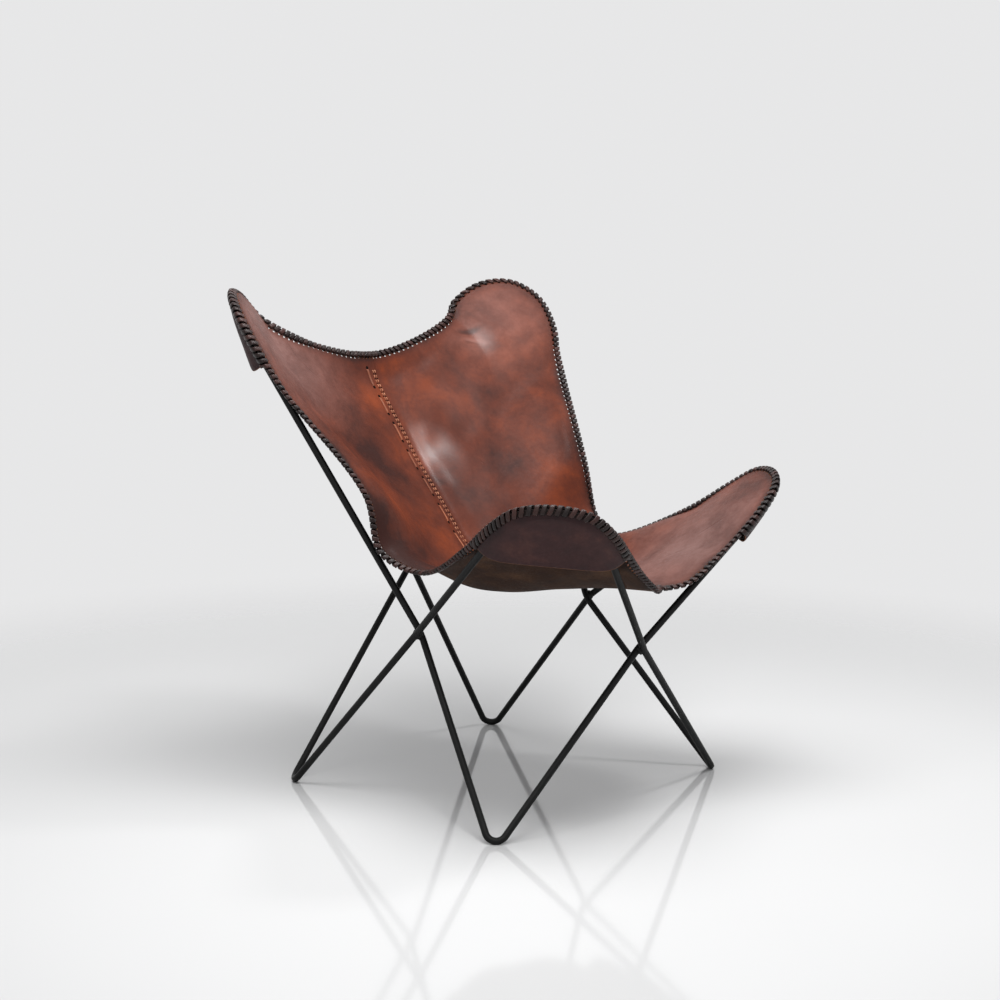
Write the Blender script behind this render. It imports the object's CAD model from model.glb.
"""Dressed model of a butterfly sling chair: a welded frame of bent rod and a laced leather sling.

Lengths are millimetres in the shape code and metres in every Blender object. The chair faces -Y.
"""
import logging
import math
from dataclasses import dataclass, field
from enum import Enum
from functools import reduce
from typing import Callable, Sequence

import bpy
import numpy as np
from mathutils import Matrix, Vector


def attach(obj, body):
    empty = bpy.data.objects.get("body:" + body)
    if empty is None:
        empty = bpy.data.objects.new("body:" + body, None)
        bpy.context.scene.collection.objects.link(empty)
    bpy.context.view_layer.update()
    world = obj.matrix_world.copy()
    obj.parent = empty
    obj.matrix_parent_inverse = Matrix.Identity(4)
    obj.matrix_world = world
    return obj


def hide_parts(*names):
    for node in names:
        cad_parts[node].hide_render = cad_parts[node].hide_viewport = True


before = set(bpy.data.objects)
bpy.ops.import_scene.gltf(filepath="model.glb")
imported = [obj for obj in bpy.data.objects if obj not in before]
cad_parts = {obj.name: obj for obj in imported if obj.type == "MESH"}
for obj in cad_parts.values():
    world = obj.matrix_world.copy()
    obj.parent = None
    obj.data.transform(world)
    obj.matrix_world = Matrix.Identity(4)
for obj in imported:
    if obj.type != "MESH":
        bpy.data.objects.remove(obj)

Array = np.ndarray
Face = tuple[int, ...]
Colour = tuple[float, float, float]
Place = tuple[float, float, float]
Socket = bpy.types.NodeSocket
Material = bpy.types.Material
LOG = logging.getLogger("sling_chair")
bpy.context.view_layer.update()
TINY = 1e-12
MM_PER_METRE = 1000


# ---------------- vectors

def vec(x: float, y: float, z: float) -> Array:
    """Return a point as an array."""
    return np.array([x, y, z], dtype=float)


def unit(v: Array) -> Array:
    """Return vectors scaled to a length of one."""
    return v / np.maximum(np.linalg.norm(v, axis=-1, keepdims=True), TINY)


def mix(a: Array, b: Array, share: float | Array) -> Array:
    """Return points between a and b, at one share or at a share for each."""
    return a + (b - a) * np.asarray(share, dtype=float)[..., None]


def smooth(low: float, high: float, value: float | Array) -> Array:
    """Return an eased step from 0 at low to 1 at high."""
    t = np.clip((np.asarray(value, dtype=float) - low) / (high - low), 0, 1)
    return t * t * (3 - 2 * t)


def mirrored(points: Array) -> Array:
    """Return points on the other side of the chair's middle plane."""
    return points * vec(-1, 1, 1)


def turned(v: Array, axis: Array, angles: float | Array) -> Array:
    """Turn a vector about a unit axis, by one angle or several in radians."""
    a = np.asarray(angles, dtype=float)[..., None]
    return v * np.cos(a) + np.cross(axis, v) * np.sin(a) + axis * np.dot(axis, v) * (1 - np.cos(a))


def angle_between(a: Array, b: Array) -> float:
    """Return the angle between two vectors, in radians."""
    return float(np.arccos(np.clip(np.dot(unit(a), unit(b)), -1, 1)))


def through_points(points: Array, places: Array, closed: bool) -> Array:
    """Follow a centripetal Catmull-Rom curve through points.

    Args:
        points: the points that it passes through.
        places: where to read it, in counts of points.
        closed: whether it runs round.

    Returns:
        One point for each place.
    """
    count = len(points)
    places = np.mod(places, count) if closed else np.clip(places, 0, count - 1)
    index = np.floor(places).astype(int)
    if closed:
        knots = [points[(index + step) % count] for step in (-1, 0, 1, 2)]
    else:
        index = np.minimum(index, count - 2)
        padded = np.vstack([2 * points[0] - points[1], points, 2 * points[-1] - points[-2]])
        knots = [padded[index + step] for step in (0, 1, 2, 3)]
    t = (places - index)[..., None]
    d0, d1, d2 = [np.sqrt(np.linalg.norm(b - a, axis=-1, keepdims=True))
                  for a, b in zip(knots, knots[1:])]
    p0, p1, p2, p3 = knots
    out = d1 * ((p1 - p0) / d0 - (p2 - p0) / (d0 + d1) + (p2 - p1) / d1)
    into = d1 * ((p2 - p1) / d1 - (p3 - p1) / (d1 + d2) + (p3 - p2) / d2)
    return (p1 + out * t + (3 * (p2 - p1) - 2 * out - into) * t ** 2
            + (2 * (p1 - p2) + out + into) * t ** 3)


# ---------------- the frame's lines

@dataclass(frozen=True)
class Bend:
    """An arc of a rod between two straight runs."""

    centre: Array
    radius: float
    normal: Array
    spoke: Array
    sweep: float

    def at(self, share: float | Array, reach: float = 0, lift: float = 0) -> Array:
        """Return points on the arc, at a distance outwards and a lift towards the sitter."""
        spoke = turned(self.spoke, self.normal, -np.asarray(share) * self.sweep)
        return self.centre + spoke * (self.radius + reach) + self.sitter * lift

    @property
    def sitter(self) -> Array:
        """The side of the arc's plane that faces the sitter."""
        return self.normal * math.copysign(1, self.normal[2])


@dataclass(frozen=True)
class Crossing:
    """A small bend that leads a rod past another one."""

    centre: Array
    start: Array
    middle: Array
    end: Array


def tangent_bend(before: Array, after: Array, centre: Array, radius: float) -> Bend:
    """Join straight runs from two far points by a bend of a given centre.

    Args:
        before: the far point that the first run comes from.
        after: the far point that the second run goes to.
        centre: the centre of the bend.
        radius: its radius.

    Returns:
        The bend.
    """
    to_before, to_after = before - centre, after - centre
    normal = unit(np.cross(to_before, to_after))
    turn_in = math.acos(radius / np.linalg.norm(to_before))
    turn_out = math.acos(radius / np.linalg.norm(to_after))
    spoke = turned(unit(to_before), normal, -turn_in)
    sweep = 2 * math.pi - angle_between(to_before, to_after) - turn_in - turn_out
    return Bend(centre, radius, normal, spoke, sweep)


def arc(centre: Array, start: Array, end: Array, steps: int) -> Array:
    """Return points on the short arc from start to end about a centre."""
    spoke = start - centre
    axis = unit(np.cross(spoke, end - centre))
    return centre + turned(spoke, axis, np.linspace(0, angle_between(spoke, end - centre), steps + 1))


@dataclass
class FrameLines:
    """Centre lines of the two rod loops, with the sizes that they follow from."""

    rod_radius: float = 6.0
    peak_bend: float = 90.0
    foot_bend: float = 18.0
    cross_bend: float = 60.0
    foot_flat: float = 0.4
    pass_offset: float = 6.15
    side_join: Place = (234.0, -22.0, 305.0)
    front_join: Place = (0.0, -324.0, 285.0)
    back_join: Place = (0.0, 218.0, 361.0)
    front_foot: tuple[float, float] = (295.0, -254.0)
    back_foot: tuple[float, float] = (262.0, 245.0)
    front_peak: Place = (255.0, -330.0, 493.0)
    back_peak: Place = (317.0, 271.0, 793.0)
    peak_steps: int = 44
    foot_steps: int = 20
    cross_steps: int = 5
    fitting_rounds: int = 8
    bends: dict[str, dict[str, Bend]] = field(default_factory=dict)
    joins: dict[str, Array] = field(default_factory=dict)
    rods: dict[str, tuple[Array, Array]] = field(default_factory=dict)
    welds: dict[str, tuple[Array, Array]] = field(default_factory=dict)

    def __post_init__(self) -> None:
        """Work out the bends of both sides, then the rods of both loops."""
        front, back = vec(*self.front_join), vec(*self.back_join)
        for name, sign in (("left", -1), ("right", 1)):
            mirror = vec(sign, 1, 1)
            side = vec(*self.side_join) * mirror
            self.joins[name] = side
            self.bends[name] = {
                "front_foot": self.foot(side, front, sign, self.front_foot),
                "back_foot": self.foot(side, back, sign, self.back_foot),
                "front_peak": tangent_bend(front, side, vec(*self.front_peak) * mirror, self.peak_bend),
                "back_peak": tangent_bend(back, side, vec(*self.back_peak) * mirror, self.peak_bend),
            }
        passes = [self.loop("left", "right", -1), self.loop("right", "left", 1)]
        pairs = {"side_left_weld": (0, 2), "side_right_weld": (2, 0), "front_weld": (1, 1),
                 "back_weld": (3, 3)}
        for name, (one, other) in pairs.items():
            self.welds[name] = (passes[0][one].middle, passes[1][other].middle)

    def foot(self, before: Array, after: Array, sign: int, place: tuple[float, float]) -> Bend:
        """Hang a foot so low that its underside is dressed flat on the floor.

        Args:
            before: the far point that its first leg comes from.
            after: the far point that its second leg goes to.
            sign: -1 on the left, 1 on the right.
            place: its centre on the floor, as on the right.

        Returns:
            The foot's bend.
        """
        up = self.rod_radius + self.foot_bend
        for _ in range(self.fitting_rounds):
            centre = vec(sign * place[0], place[1], up)
            normal = unit(np.cross(before - centre, after - centre))
            up = self.rod_radius - self.foot_flat + self.foot_bend * math.sqrt(1 - normal[2] ** 2)
        return tangent_bend(before, after, vec(sign * place[0], place[1], up), self.foot_bend)

    def passing(self, join: Array, own: Array, other: Array, outward: Array, way: float) -> Array:
        """Return the place beside a join where a rod passes the other one."""
        normal = unit(np.cross(own, other))
        return join + normal * math.copysign(1, np.dot(normal, outward)) * way * self.pass_offset

    def crossing(self, anchor: Array, before: Array, after: Array) -> Crossing:
        """Lead two straight runs into a small bend through an anchor.

        Args:
            anchor: the middle of the bend.
            before: the far point that the first run comes from.
            after: the far point that the second run goes to.

        Returns:
            The bend.
        """
        corner = anchor
        for _ in range(self.fitting_rounds):
            back, ahead = unit(before - corner), unit(after - corner)
            inner, half = unit(back + ahead), angle_between(back, ahead) / 2
            corner = anchor + inner * self.cross_bend * (1 - 1 / math.sin(half))
        run = self.cross_bend / math.tan(half)
        return Crossing(corner + inner * self.cross_bend / math.sin(half), corner + back * run, anchor,
                        corner + ahead * run)

    def loop(self, own: str, other: str, sign: int) -> list[Crossing]:
        """Lay one loop's four rods.

        Args:
            own: the side of its front foot and back peak.
            other: the side of its front peak and back foot.
            sign: -1 for the left loop, 1 for the right one.

        Returns:
            The crossing that each rod leaves from.
        """
        here, there = self.bends[own], self.bends[other]
        front, back = vec(*self.front_join), vec(*self.back_join)
        side_run = unit(here["front_foot"].at(0) - here["back_peak"].at(1))
        far_side_run = unit(here["back_foot"].at(0) - here["front_peak"].at(1))
        front_run = unit(there["front_peak"].at(0) - here["front_foot"].at(1))
        back_run = unit(here["back_peak"].at(0) - there["back_foot"].at(1))
        legs = [
            (f"front_{own}_foot_rod", here["front_foot"], self.foot_steps,
             self.passing(self.joins[own], side_run, far_side_run, vec(sign, 0, 0), -1)),
            (f"front_{other}_peak_rod", there["front_peak"], self.peak_steps,
             self.passing(front, front_run, mirrored(front_run), vec(0, -1, 0), sign)),
            (f"back_{other}_foot_rod", there["back_foot"], self.foot_steps,
             self.passing(self.joins[other], mirrored(far_side_run), mirrored(side_run),
                          vec(-sign, 0, 0), 1)),
            (f"back_{own}_peak_rod", here["back_peak"], self.peak_steps,
             self.passing(back, back_run, mirrored(back_run), vec(0, 1, 0), sign)),
        ]
        crossings = [self.crossing(leg[3], legs[index - 1][1].at(1), leg[1].at(0))
                     for index, leg in enumerate(legs)]
        for index, (name, bend, steps, _) in enumerate(legs):
            leave, arrive = crossings[index], crossings[(index + 1) % 4]
            line = np.vstack([
                arc(leave.centre, leave.middle, leave.end, self.cross_steps),
                bend.at(np.linspace(0, 1, steps + 1)),
                arc(arrive.centre, arrive.start, arrive.middle, self.cross_steps),
            ])
            self.rods[name] = (line, bend.normal)
        return crossings


# ---------------- the sling's surface

class Measured:
    """A curve given by close samples, read by shares of its length."""

    def __init__(self, samples: Array) -> None:
        """Keep close points along the curve and add up their lengths."""
        self.samples = samples
        steps = np.linalg.norm(np.diff(samples, axis=0), axis=1)
        self.lengths = np.concatenate([[0.0], np.cumsum(steps)])
        self.length = float(self.lengths[-1])
        self.indices = np.arange(len(samples), dtype=float)

    def at(self, share: float | Array) -> Array:
        """Return the points at shares of the length."""
        reach = np.clip(share, 0, 1) * self.length
        return np.stack([np.interp(reach, self.lengths, self.samples[:, axis]) for axis in range(3)],
                        axis=-1)

    def sample_of(self, share: float | Array) -> Array:
        """Return the sample counts at shares of the length."""
        return np.interp(np.clip(share, 0, 1) * self.length, self.lengths, self.indices)

    def share_of(self, sample: float | Array) -> Array:
        """Return the shares of the length at sample counts."""
        return np.interp(sample, self.indices, self.lengths) / self.length

    def sag(self, share: float | Array) -> Array:
        """Return how far the curve is off the straight line between its ends."""
        return self.at(share) - mix(self.samples[0], self.samples[-1], share)


@dataclass
class SlingSizes:
    """Sizes of the sling, and the shares that place its edge and its seam."""

    leather: float = 3.0
    pocket: float = 2.6
    gap: float = 0.3
    rim_beyond_rod: float = 17.0
    front_rim_lift: float = 5.0
    seat_front: tuple[float, float] = (-366.0, 394.0)
    seat_low: tuple[float, float] = (-75.0, 362.0)
    back_top: tuple[float, float] = (322.0, 756.0)
    side_low: Place = (-267.0, -53.0, 419.0)
    lap_half: float = 17.0
    lap_cover: float = 1.0
    lap_to_left: float = 14.0
    joggle_end: float = 34.0
    grip_reach: float = 185.0
    grip_release: float = 265.0
    grip_drop_most: float = 6.0
    ring: float = 12.0
    pocket_mouth_drop: float = 8.0
    front_pocket_slack: float = 12.0
    back_pocket_slack: float = 22.0
    seam_front: Sequence[tuple[float, float]] = ((0.67, 0.8), (0.33, 0.4))
    seam_back: Sequence[tuple[float, float]] = (
        (0.23, 0.03), (0.395, 0.16), (0.495, 0.28), (0.595, 0.4), (0.69, 0.51), (0.78, 0.635),
        (0.87, 0.755), (0.955, 0.875))
    front_edge: Sequence[Place] = ((0.21, 0.4, 0.06), (0.59, 0.68, 0.45))
    side_front: Sequence[Place] = ((0.63, 0.63, 0.52),)
    side_back: Sequence[Place] = ((0.21, 0.24, 0.08), (0.25, 0.36, 0.335), (0.84, 0.87, 0.83))
    back_edge: Sequence[Place] = ((0.84, 0.33, 0.65), (0.455, 0.1, 0.22))
    front_arc: Sequence[float] = (0.05, 0.28, 0.52, 0.76, 1.0)
    front_reach: Sequence[float] = (1.2, 1.1, 0.75, 0.85, 0.9)
    back_arc: Sequence[float] = (1.0, 0.78, 0.56, 0.34, 0.12)
    back_reach: Sequence[float] = (0.95, 0.85, 0.9, 0.8, 1.0)
    round_sag: float = 0.55
    seam_ease: float = 0.08
    inward_share: float = 0.04


FRONT_GRIP = (2.4, 5, 7.6)
BACK_GRIP = (12.4, 15, 17.6)
EDGE_END = 20
SAMPLES = 60
SETTLE_CELLS = 48
SETTLE_TERMS = 3
SETTLE_FROM_SEAM = 0.12
SETTLE_FROM_EDGE = 0.24


class Patch:
    """Half of the sling: straight rules from its front edge to its back edge, sagged and then settled."""

    def __init__(self, point_at: Callable[[Array], Array], seam: Measured, round_sag: float,
                 ease: float) -> None:
        """Sample the three edges.

        Args:
            point_at: gives the points at places on the rim.
            seam: the profile of the seam.
            round_sag: how far the sag is evened out, from 0 to 1.
            ease: how softly the sag starts at the seam.
        """
        def run(start: float, end: float) -> Measured:
            """Sample the rim between two places."""
            return Measured(point_at(np.linspace(start, end, int(abs(end - start) * SAMPLES) + 1)))
        self.front = run(0, FRONT_GRIP[1])
        self.back = run(EDGE_END, BACK_GRIP[1])
        self.side = run(FRONT_GRIP[1], BACK_GRIP[1])
        self.seam = seam
        self.round_sag = round_sag
        self.ease = ease
        self.settled = self.settle()

    def settle(self) -> Array:
        """Pull the ridges of the leather out into plain arches.

        Returns:
            How far it moves, on an even net.
        """
        net = np.linspace(0, 1, SETTLE_CELLS + 1)
        start = self.ruled(net[None, :], net[:, None])
        chord = start[:, :1] + (start[:, -1:] - start[:, :1]) * net[None, :, None]
        arches = (net * (1 - net))[:, None] * net[:, None] ** np.arange(SETTLE_TERMS)
        fitted = chord + np.einsum("ut,tw,vwc->vuc", arches, np.linalg.pinv(arches), start - chord)
        free = smooth(0, SETTLE_FROM_SEAM, net)[None, :] * (smooth(0, SETTLE_FROM_EDGE, net)
                                                            * smooth(0, SETTLE_FROM_EDGE, 1 - net))[:, None]
        return (fitted - start) * free[..., None]

    def at(self, u: Array, v: Array) -> Array:
        """Read the settled surface.

        Args:
            u: shares from the seam to the side.
            v: shares from the front to the back.

        Returns:
            The points.
        """
        u, v = np.broadcast_arrays(np.asarray(u, dtype=float), np.asarray(v, dtype=float))
        cell = [np.clip(share, 0, 1) * SETTLE_CELLS for share in (v, u)]
        low = [np.minimum(np.floor(place).astype(int), SETTLE_CELLS - 1) for place in cell]
        part = [place - start for place, start in zip(cell, low)]
        corners = [[self.settled[low[0] + i, low[1] + j] for j in (0, 1)] for i in (0, 1)]
        front_row, back_row = [mix(row[0], row[1], part[1]) for row in corners]
        return self.ruled(u, v) + mix(front_row, back_row, part[0])

    def ruled(self, u: Array, v: Array) -> Array:
        """Return points of the ruled and sagged surface before it settles."""
        u, v = np.broadcast_arrays(np.asarray(u, dtype=float), np.asarray(v, dtype=float))
        eased = (np.hypot(u, self.ease) - self.ease) / (math.hypot(1, self.ease) - self.ease)
        share = eased + (smooth(0, 1, u) - eased) * self.round_sag
        sag = mix(self.seam.sag(v), self.side.sag(v), share)
        return mix(self.front.at(u), self.back.at(u), v) + sag

    def place_of(self, edge: str, share: Array) -> Array:
        """Return the rim's places at shares of its front, side or back edge."""
        if edge == "front":
            return self.front.sample_of(share) / SAMPLES
        if edge == "back":
            return EDGE_END - self.back.sample_of(share) / SAMPLES
        return FRONT_GRIP[1] + self.side.sample_of(share) / SAMPLES


class SlingShape:
    """The sling's surface on the left half, and what depends on it."""

    def __init__(self, lines: FrameLines, sizes: SlingSizes) -> None:
        """Lay the rim, the seam and the surface over the peaks of the frame.

        Args:
            lines: the frame's lines.
            sizes: the sling's sizes.
        """
        self.sizes = sizes
        self.rod_top = lines.rod_radius + sizes.gap + sizes.leather / 2
        self.rod_under = lines.rod_radius + sizes.gap + sizes.pocket / 2
        self.lap_rise = sizes.leather + sizes.gap
        left = lines.bends["left"]
        self.hoops = [(left["front_peak"], FRONT_GRIP[1]), (left["back_peak"], BACK_GRIP[1])]
        reach = sizes.rim_beyond_rod
        front_rim = np.array([left["front_peak"].at(a, reach * r, sizes.front_rim_lift)
                              for a, r in zip(sizes.front_arc, sizes.front_reach)])
        back_rim = np.array([left["back_peak"].at(a, reach * r)
                             for a, r in zip(sizes.back_arc, sizes.back_reach)])
        front, side = vec(0, *sizes.seat_front), vec(*sizes.side_low)
        back, low = vec(0, *sizes.back_top), vec(0, *sizes.seat_low)

        def stepped(a: Array, b: Array, shares: Sequence[Place]) -> list[Array]:
            """Return the points at shares of the way, axis by axis."""
            return [a + (b - a) * np.array(share) for share in shares]
        half = np.array([
            front, *stepped(front, front_rim[0], sizes.front_edge), *front_rim,
            *stepped(side, front_rim[-1], sizes.side_front), side,
            *stepped(side, back_rim[0], sizes.side_back), *back_rim,
            *stepped(back, back_rim[-1], sizes.back_edge), back])
        self.knots = np.vstack([half, mirrored(half[1:-1][::-1])])
        self.seam_knots = ([low + (front - low) * np.array([0, *s]) for s in sizes.seam_front] + [low]
                           + [low + (back - low) * np.array([0, *s]) for s in sizes.seam_back])
        self.rim_patch = Patch(self.rim, self.seam(front, back), sizes.round_sag, sizes.seam_ease)
        ends = self.inset(np.array([0.0, EDGE_END]), self.rod_top)
        self.patch = Patch(lambda place: self.inset(place, self.rod_top), self.seam(ends[0], ends[1]),
                           sizes.round_sag, sizes.seam_ease)

    def rim(self, place: Array) -> Array:
        """Return points on the rim at places counted from the middle of the front."""
        return through_points(self.knots, np.asarray(place, dtype=float), True)

    def seam(self, start: Array, end: Array) -> Measured:
        """Return the profile of the seam between two ends."""
        knots = np.array([start, *self.seam_knots, end])
        places = np.linspace(0, len(knots) - 1, len(knots) * SAMPLES + 1)
        return Measured(through_points(knots, places, False))

    def inward(self, place: Array) -> Array:
        """Find the ways into the leather from the rim, square to it.

        Args:
            place: places on the rim.

        Returns:
            One direction for each place.
        """
        patch = self.rim_patch
        in_front, in_back = place < FRONT_GRIP[1], place > BACK_GRIP[1]
        share = np.where(in_front, patch.front.share_of(place * SAMPLES), np.where(
            in_back, patch.back.share_of((EDGE_END - place) * SAMPLES),
            patch.side.share_of((place - FRONT_GRIP[1]) * SAMPLES)))
        u = np.where(in_front | in_back, share, 1.0)
        v = np.where(in_front, 0.0, np.where(in_back, 1.0, share))
        k = self.sizes.inward_share
        inside = patch.at(u * (1 - k), v + (0.5 - v) * k)
        along = unit(self.rim(place + 1 / SAMPLES) - self.rim(place - 1 / SAMPLES))
        inward = inside - self.rim(place)
        return unit(inward - along * np.sum(inward * along, axis=-1, keepdims=True))

    def grip(self, tip: int, points: Array) -> Array:
        """Return how firmly the hoop at a tip holds the leather at points, from 0 to 1."""
        distance = np.linalg.norm(points - self.rim(np.array(float(tip))), axis=-1)
        return 1 - smooth(self.sizes.grip_reach, self.sizes.grip_release, distance)

    def held(self, points: Array, height: float, most_drop: float) -> Array:
        """Move points towards a height over the hoop that holds them.

        Args:
            points: the points.
            height: the height over the hoop.
            most_drop: how far a point may move down; upwards it moves freely.

        Returns:
            The moved points.
        """
        result = points.copy()
        for bend, tip in self.hoops:
            rise = np.maximum(height - (points - bend.centre) @ bend.sitter, -most_drop)
            result += (rise * self.grip(tip, points))[..., None] * bend.sitter
        return result

    def inset(self, place: Array, height: float) -> Array:
        """Return points a ring's width inside the rim, at a height over the hoops."""
        most_drop = self.sizes.grip_drop_most + self.rod_top - height
        return self.held(self.rim(place) + self.inward(place) * self.sizes.ring, height, most_drop)

    def rim_of(self, place: Array, offset: float) -> Array:
        """Return the rim of a layer that lies at an offset over the hoops."""
        points = self.rim(place)
        return points + sum((offset * self.grip(tip, points))[..., None] * bend.sitter
                            for bend, tip in self.hoops)

    def half_length(self, v: Array) -> Array:
        """Return the length of the rules from the seam to the side."""
        u = np.linspace(0, 1, SAMPLES + 1)
        rows = self.patch.at(u[None, :], np.atleast_1d(v)[:, None])
        return np.linalg.norm(np.diff(rows, axis=1), axis=2).sum(axis=1)


# ---------------- sheets of leather

def vertex_normals(points: Array, faces: Sequence[Face]) -> Array:
    """Find the normals of a surface's points, weighted by area.

    Args:
        points: the surface's points.
        faces: its faces.

    Returns:
        One normal for each point.
    """
    normals = np.zeros_like(points)
    for face in faces:
        corners = points[list(face)]
        normal = np.cross(corners, np.roll(corners, -1, axis=0)).sum(axis=0)
        normals[list(face)] += normal
    return unit(normals)


RIPPLE_WAVES = (((0.021, 0.013, 0.017), 0.4), ((-0.014, 0.027, 0.009), 1.7), ((0.031, -0.018, 0.024), 2.9),
                ((0.009, 0.034, -0.028), 4.1), ((-0.037, 0.011, 0.033), 5.2))
RIPPLE_RATE = 2.2


def ripples(points: Array) -> Array:
    """Return a gentle unevenness of worked leather, about one at most."""
    return sum(np.sin(points @ vec(*wave) * RIPPLE_RATE + phase)
               for wave, phase in RIPPLE_WAVES) / len(RIPPLE_WAVES)


@dataclass
class SheetMesh:
    """Points, faces and point values of a sheet before it gets its thickness."""

    points: Array
    faces: list[Face]
    values: dict[str, Array] = field(default_factory=dict)


@dataclass
class EdgeBand:
    """What the edge lace lies against: a face on top and one below, at close stations round the rim."""

    top: Array
    top_in: Array
    top_normal: Array
    low: Array
    low_in: Array
    low_normal: Array


RIM_CALM = (14.0, 60.0)
SEAM_CALM = (24.0, 70.0)
GRIP_CALM = 0.8
RIM_STRIDE = 3


@dataclass
class PanelShape:
    """One panel of the sling, as a grid with a ring of lace holes round its laced edges."""

    sling: SlingShape
    name: str
    rows: int = 92
    free_columns: int = 30
    fine: int = 5
    lap: Sequence[float] = (-17.0, -8.5, 0.0, 9.0, 18.0, 26.0)
    ring_shares: Sequence[float] = (0.0, 0.06, 0.36, 0.66, 1.0)
    hole_row: int = 1
    hole_steps: Sequence[int] = (2, 3)
    ripple: float = 1.1

    def __post_init__(self) -> None:
        """Lay the grid, the ring and its faces, then lift the lap."""
        self.sign = -1 if self.name == "left" else 1
        self.on_top = self.name == "left"
        self.shift = -self.sign * self.sling.sizes.lap_to_left
        self.columns = len(self.lap) + self.free_columns
        self.sheet = self.build()

    def placed(self, points: Array, share: Array) -> Array:
        """Put points of the left half on the side of the chair that their share asks for."""
        flip = (np.asarray(share) < 0) == (self.sign < 0)
        return np.where(flip[..., None], mirrored(points), points)

    def shares(self, half_length: Array) -> Array:
        """Return the columns' signed shares of rules of the given lengths."""
        half_length = np.atleast_1d(half_length)[:, None]
        near = (np.array(self.lap)[None, :] + self.shift) / half_length
        start = (self.sling.sizes.joggle_end + self.shift) / half_length
        steps = np.linspace(0, 1, self.free_columns + 1)[None, :]
        return np.hstack([near, start + (1 - start) * steps])

    def raise_at(self, from_seam: Array) -> Array:
        """Return how far the leather is lifted at distances from the middle plane."""
        sizes = self.sling.sizes
        beyond = np.asarray(from_seam, dtype=float) - self.shift
        most = self.sling.lap_rise if self.on_top else 0.0
        return most * (1 - smooth(sizes.lap_half + sizes.lap_cover, sizes.joggle_end, beyond))

    def build(self) -> SheetMesh:
        """Make the panel's sheet.

        Returns:
            Its points, faces and values, with the lap lifted and the leather rippled.
        """
        sling, patch, k = self.sling, self.sling.patch, self.fine
        v = np.linspace(0, 1, self.rows + 1)
        lengths = sling.half_length(v)
        lengths[0], lengths[-1] = patch.front.length, patch.back.length
        share = self.shares(lengths)
        points = sling.held(patch.at(np.abs(share), v[:, None]), sling.rod_top, 0.0)
        grid = self.placed(points, share)
        from_seam = share * lengths[:, None]
        last = share.shape[1] - 1

        def fined(values: Array) -> Array:
            """Add even steps between coarse values."""
            return np.interp(np.arange((len(values) - 1) * k + 1) / k, np.arange(len(values)), values)
        front, side, back = fined(share[0]), fined(v), fined(share[-1][::-1])
        places = np.concatenate([patch.place_of("front", np.abs(front)), patch.place_of("side", side)[1:],
                                 patch.place_of("back", np.abs(back))[1:]])
        signed = np.concatenate([front, np.ones(len(side) - 1), back[1:]])
        seam_at = np.concatenate([front * lengths[0], np.full(len(side) - 1, lengths[0]),
                                  back[1:] * lengths[-1]])
        inner = self.placed(sling.inset(places, sling.rod_top), signed)
        rim = self.placed(sling.rim_of(places, (sling.sizes.leather + sling.sizes.gap) / 2), signed)
        self.places, self.signed, self.seam_at = places, signed, seam_at

        count = grid.shape[0] * grid.shape[1]
        ids = np.arange(count).reshape(grid.shape[:2])
        coarse = list(ids[0]) + list(ids[1:, last]) + list(ids[-1, ::-1][1:])
        flat, seam_flat = grid.reshape(-1, 3).copy(), from_seam.reshape(-1).copy()
        ring = [[-1] * len(places)]
        extra_points, extra_seam = [], []
        for station in range(len(places)):
            if station % k == 0:
                ring[0][station] = int(coarse[station // k])
                flat[ring[0][station]] = inner[station]
            else:
                ring[0][station] = count + len(extra_points)
                extra_points.append(inner[station])
                extra_seam.append(seam_at[station])
        for part in self.ring_shares[1:]:
            start = count + len(extra_points)
            ring.append(list(range(start, start + len(places))))
            extra_points.extend(mix(inner, rim, part))
            extra_seam.extend(seam_at)
        points = np.vstack([flat, np.array(extra_points)])
        seam = np.concatenate([seam_flat, np.array(extra_seam)])

        faces = self.faces(ids, ring)
        rim_gap = np.min(np.linalg.norm(points[:, None, :] - rim[None, ::RIM_STRIDE, :], axis=2), axis=1)
        normals = vertex_normals(points, faces)
        lift = self.raise_at(seam)
        calm = smooth(*RIM_CALM, rim_gap) * smooth(*SEAM_CALM, np.abs(seam - self.shift))
        left_points = np.where(points[:, :1] > 0, mirrored(points), points)
        for _, tip in sling.hoops:
            calm = calm * (1 - GRIP_CALM * sling.grip(tip, left_points))
        points = points + normals * (lift + calm * self.ripple * ripples(points))[:, None]
        self.ring = ring
        return SheetMesh(points, faces, {"rim_gap": rim_gap / MM_PER_METRE})

    def faces(self, ids: Array, ring: list[list[int]]) -> list[Face]:
        """Join the grid, whose edge cells take in the ring's finer points, and the ring with its holes.

        Args:
            ids: the point numbers of the grid, row by row.
            ring: the point numbers of the ring's rows, from the grid to the rim.

        Returns:
            The faces, turned towards the sitter.
        """
        k, last = self.fine, ids.shape[1] - 1
        faces: list[Face] = []
        for i in range(self.rows):
            for j in range(last):
                face = [ids[i, j]]
                if i == 0:
                    face += ring[0][k * j + 1:k * j + k]
                face.append(ids[i, j + 1])
                if j + 1 == last:
                    base = k * (last + i)
                    face += ring[0][base + 1:base + k]
                face.append(ids[i + 1, j + 1])
                if i + 1 == self.rows:
                    base = k * (last + self.rows + last - 1 - j)
                    face += ring[0][base + 1:base + k]
                face.append(ids[i + 1, j])
                faces.append(tuple(int(x) for x in face))
        for row, (near, far) in enumerate(zip(ring, ring[1:])):
            for station in range(len(near) - 1):
                if row == self.hole_row and station % k in self.hole_steps:
                    continue
                faces.append((far[station], far[station + 1], near[station + 1], near[station]))
        return [face[::-1] for face in faces] if self.sign < 0 else faces

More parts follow.
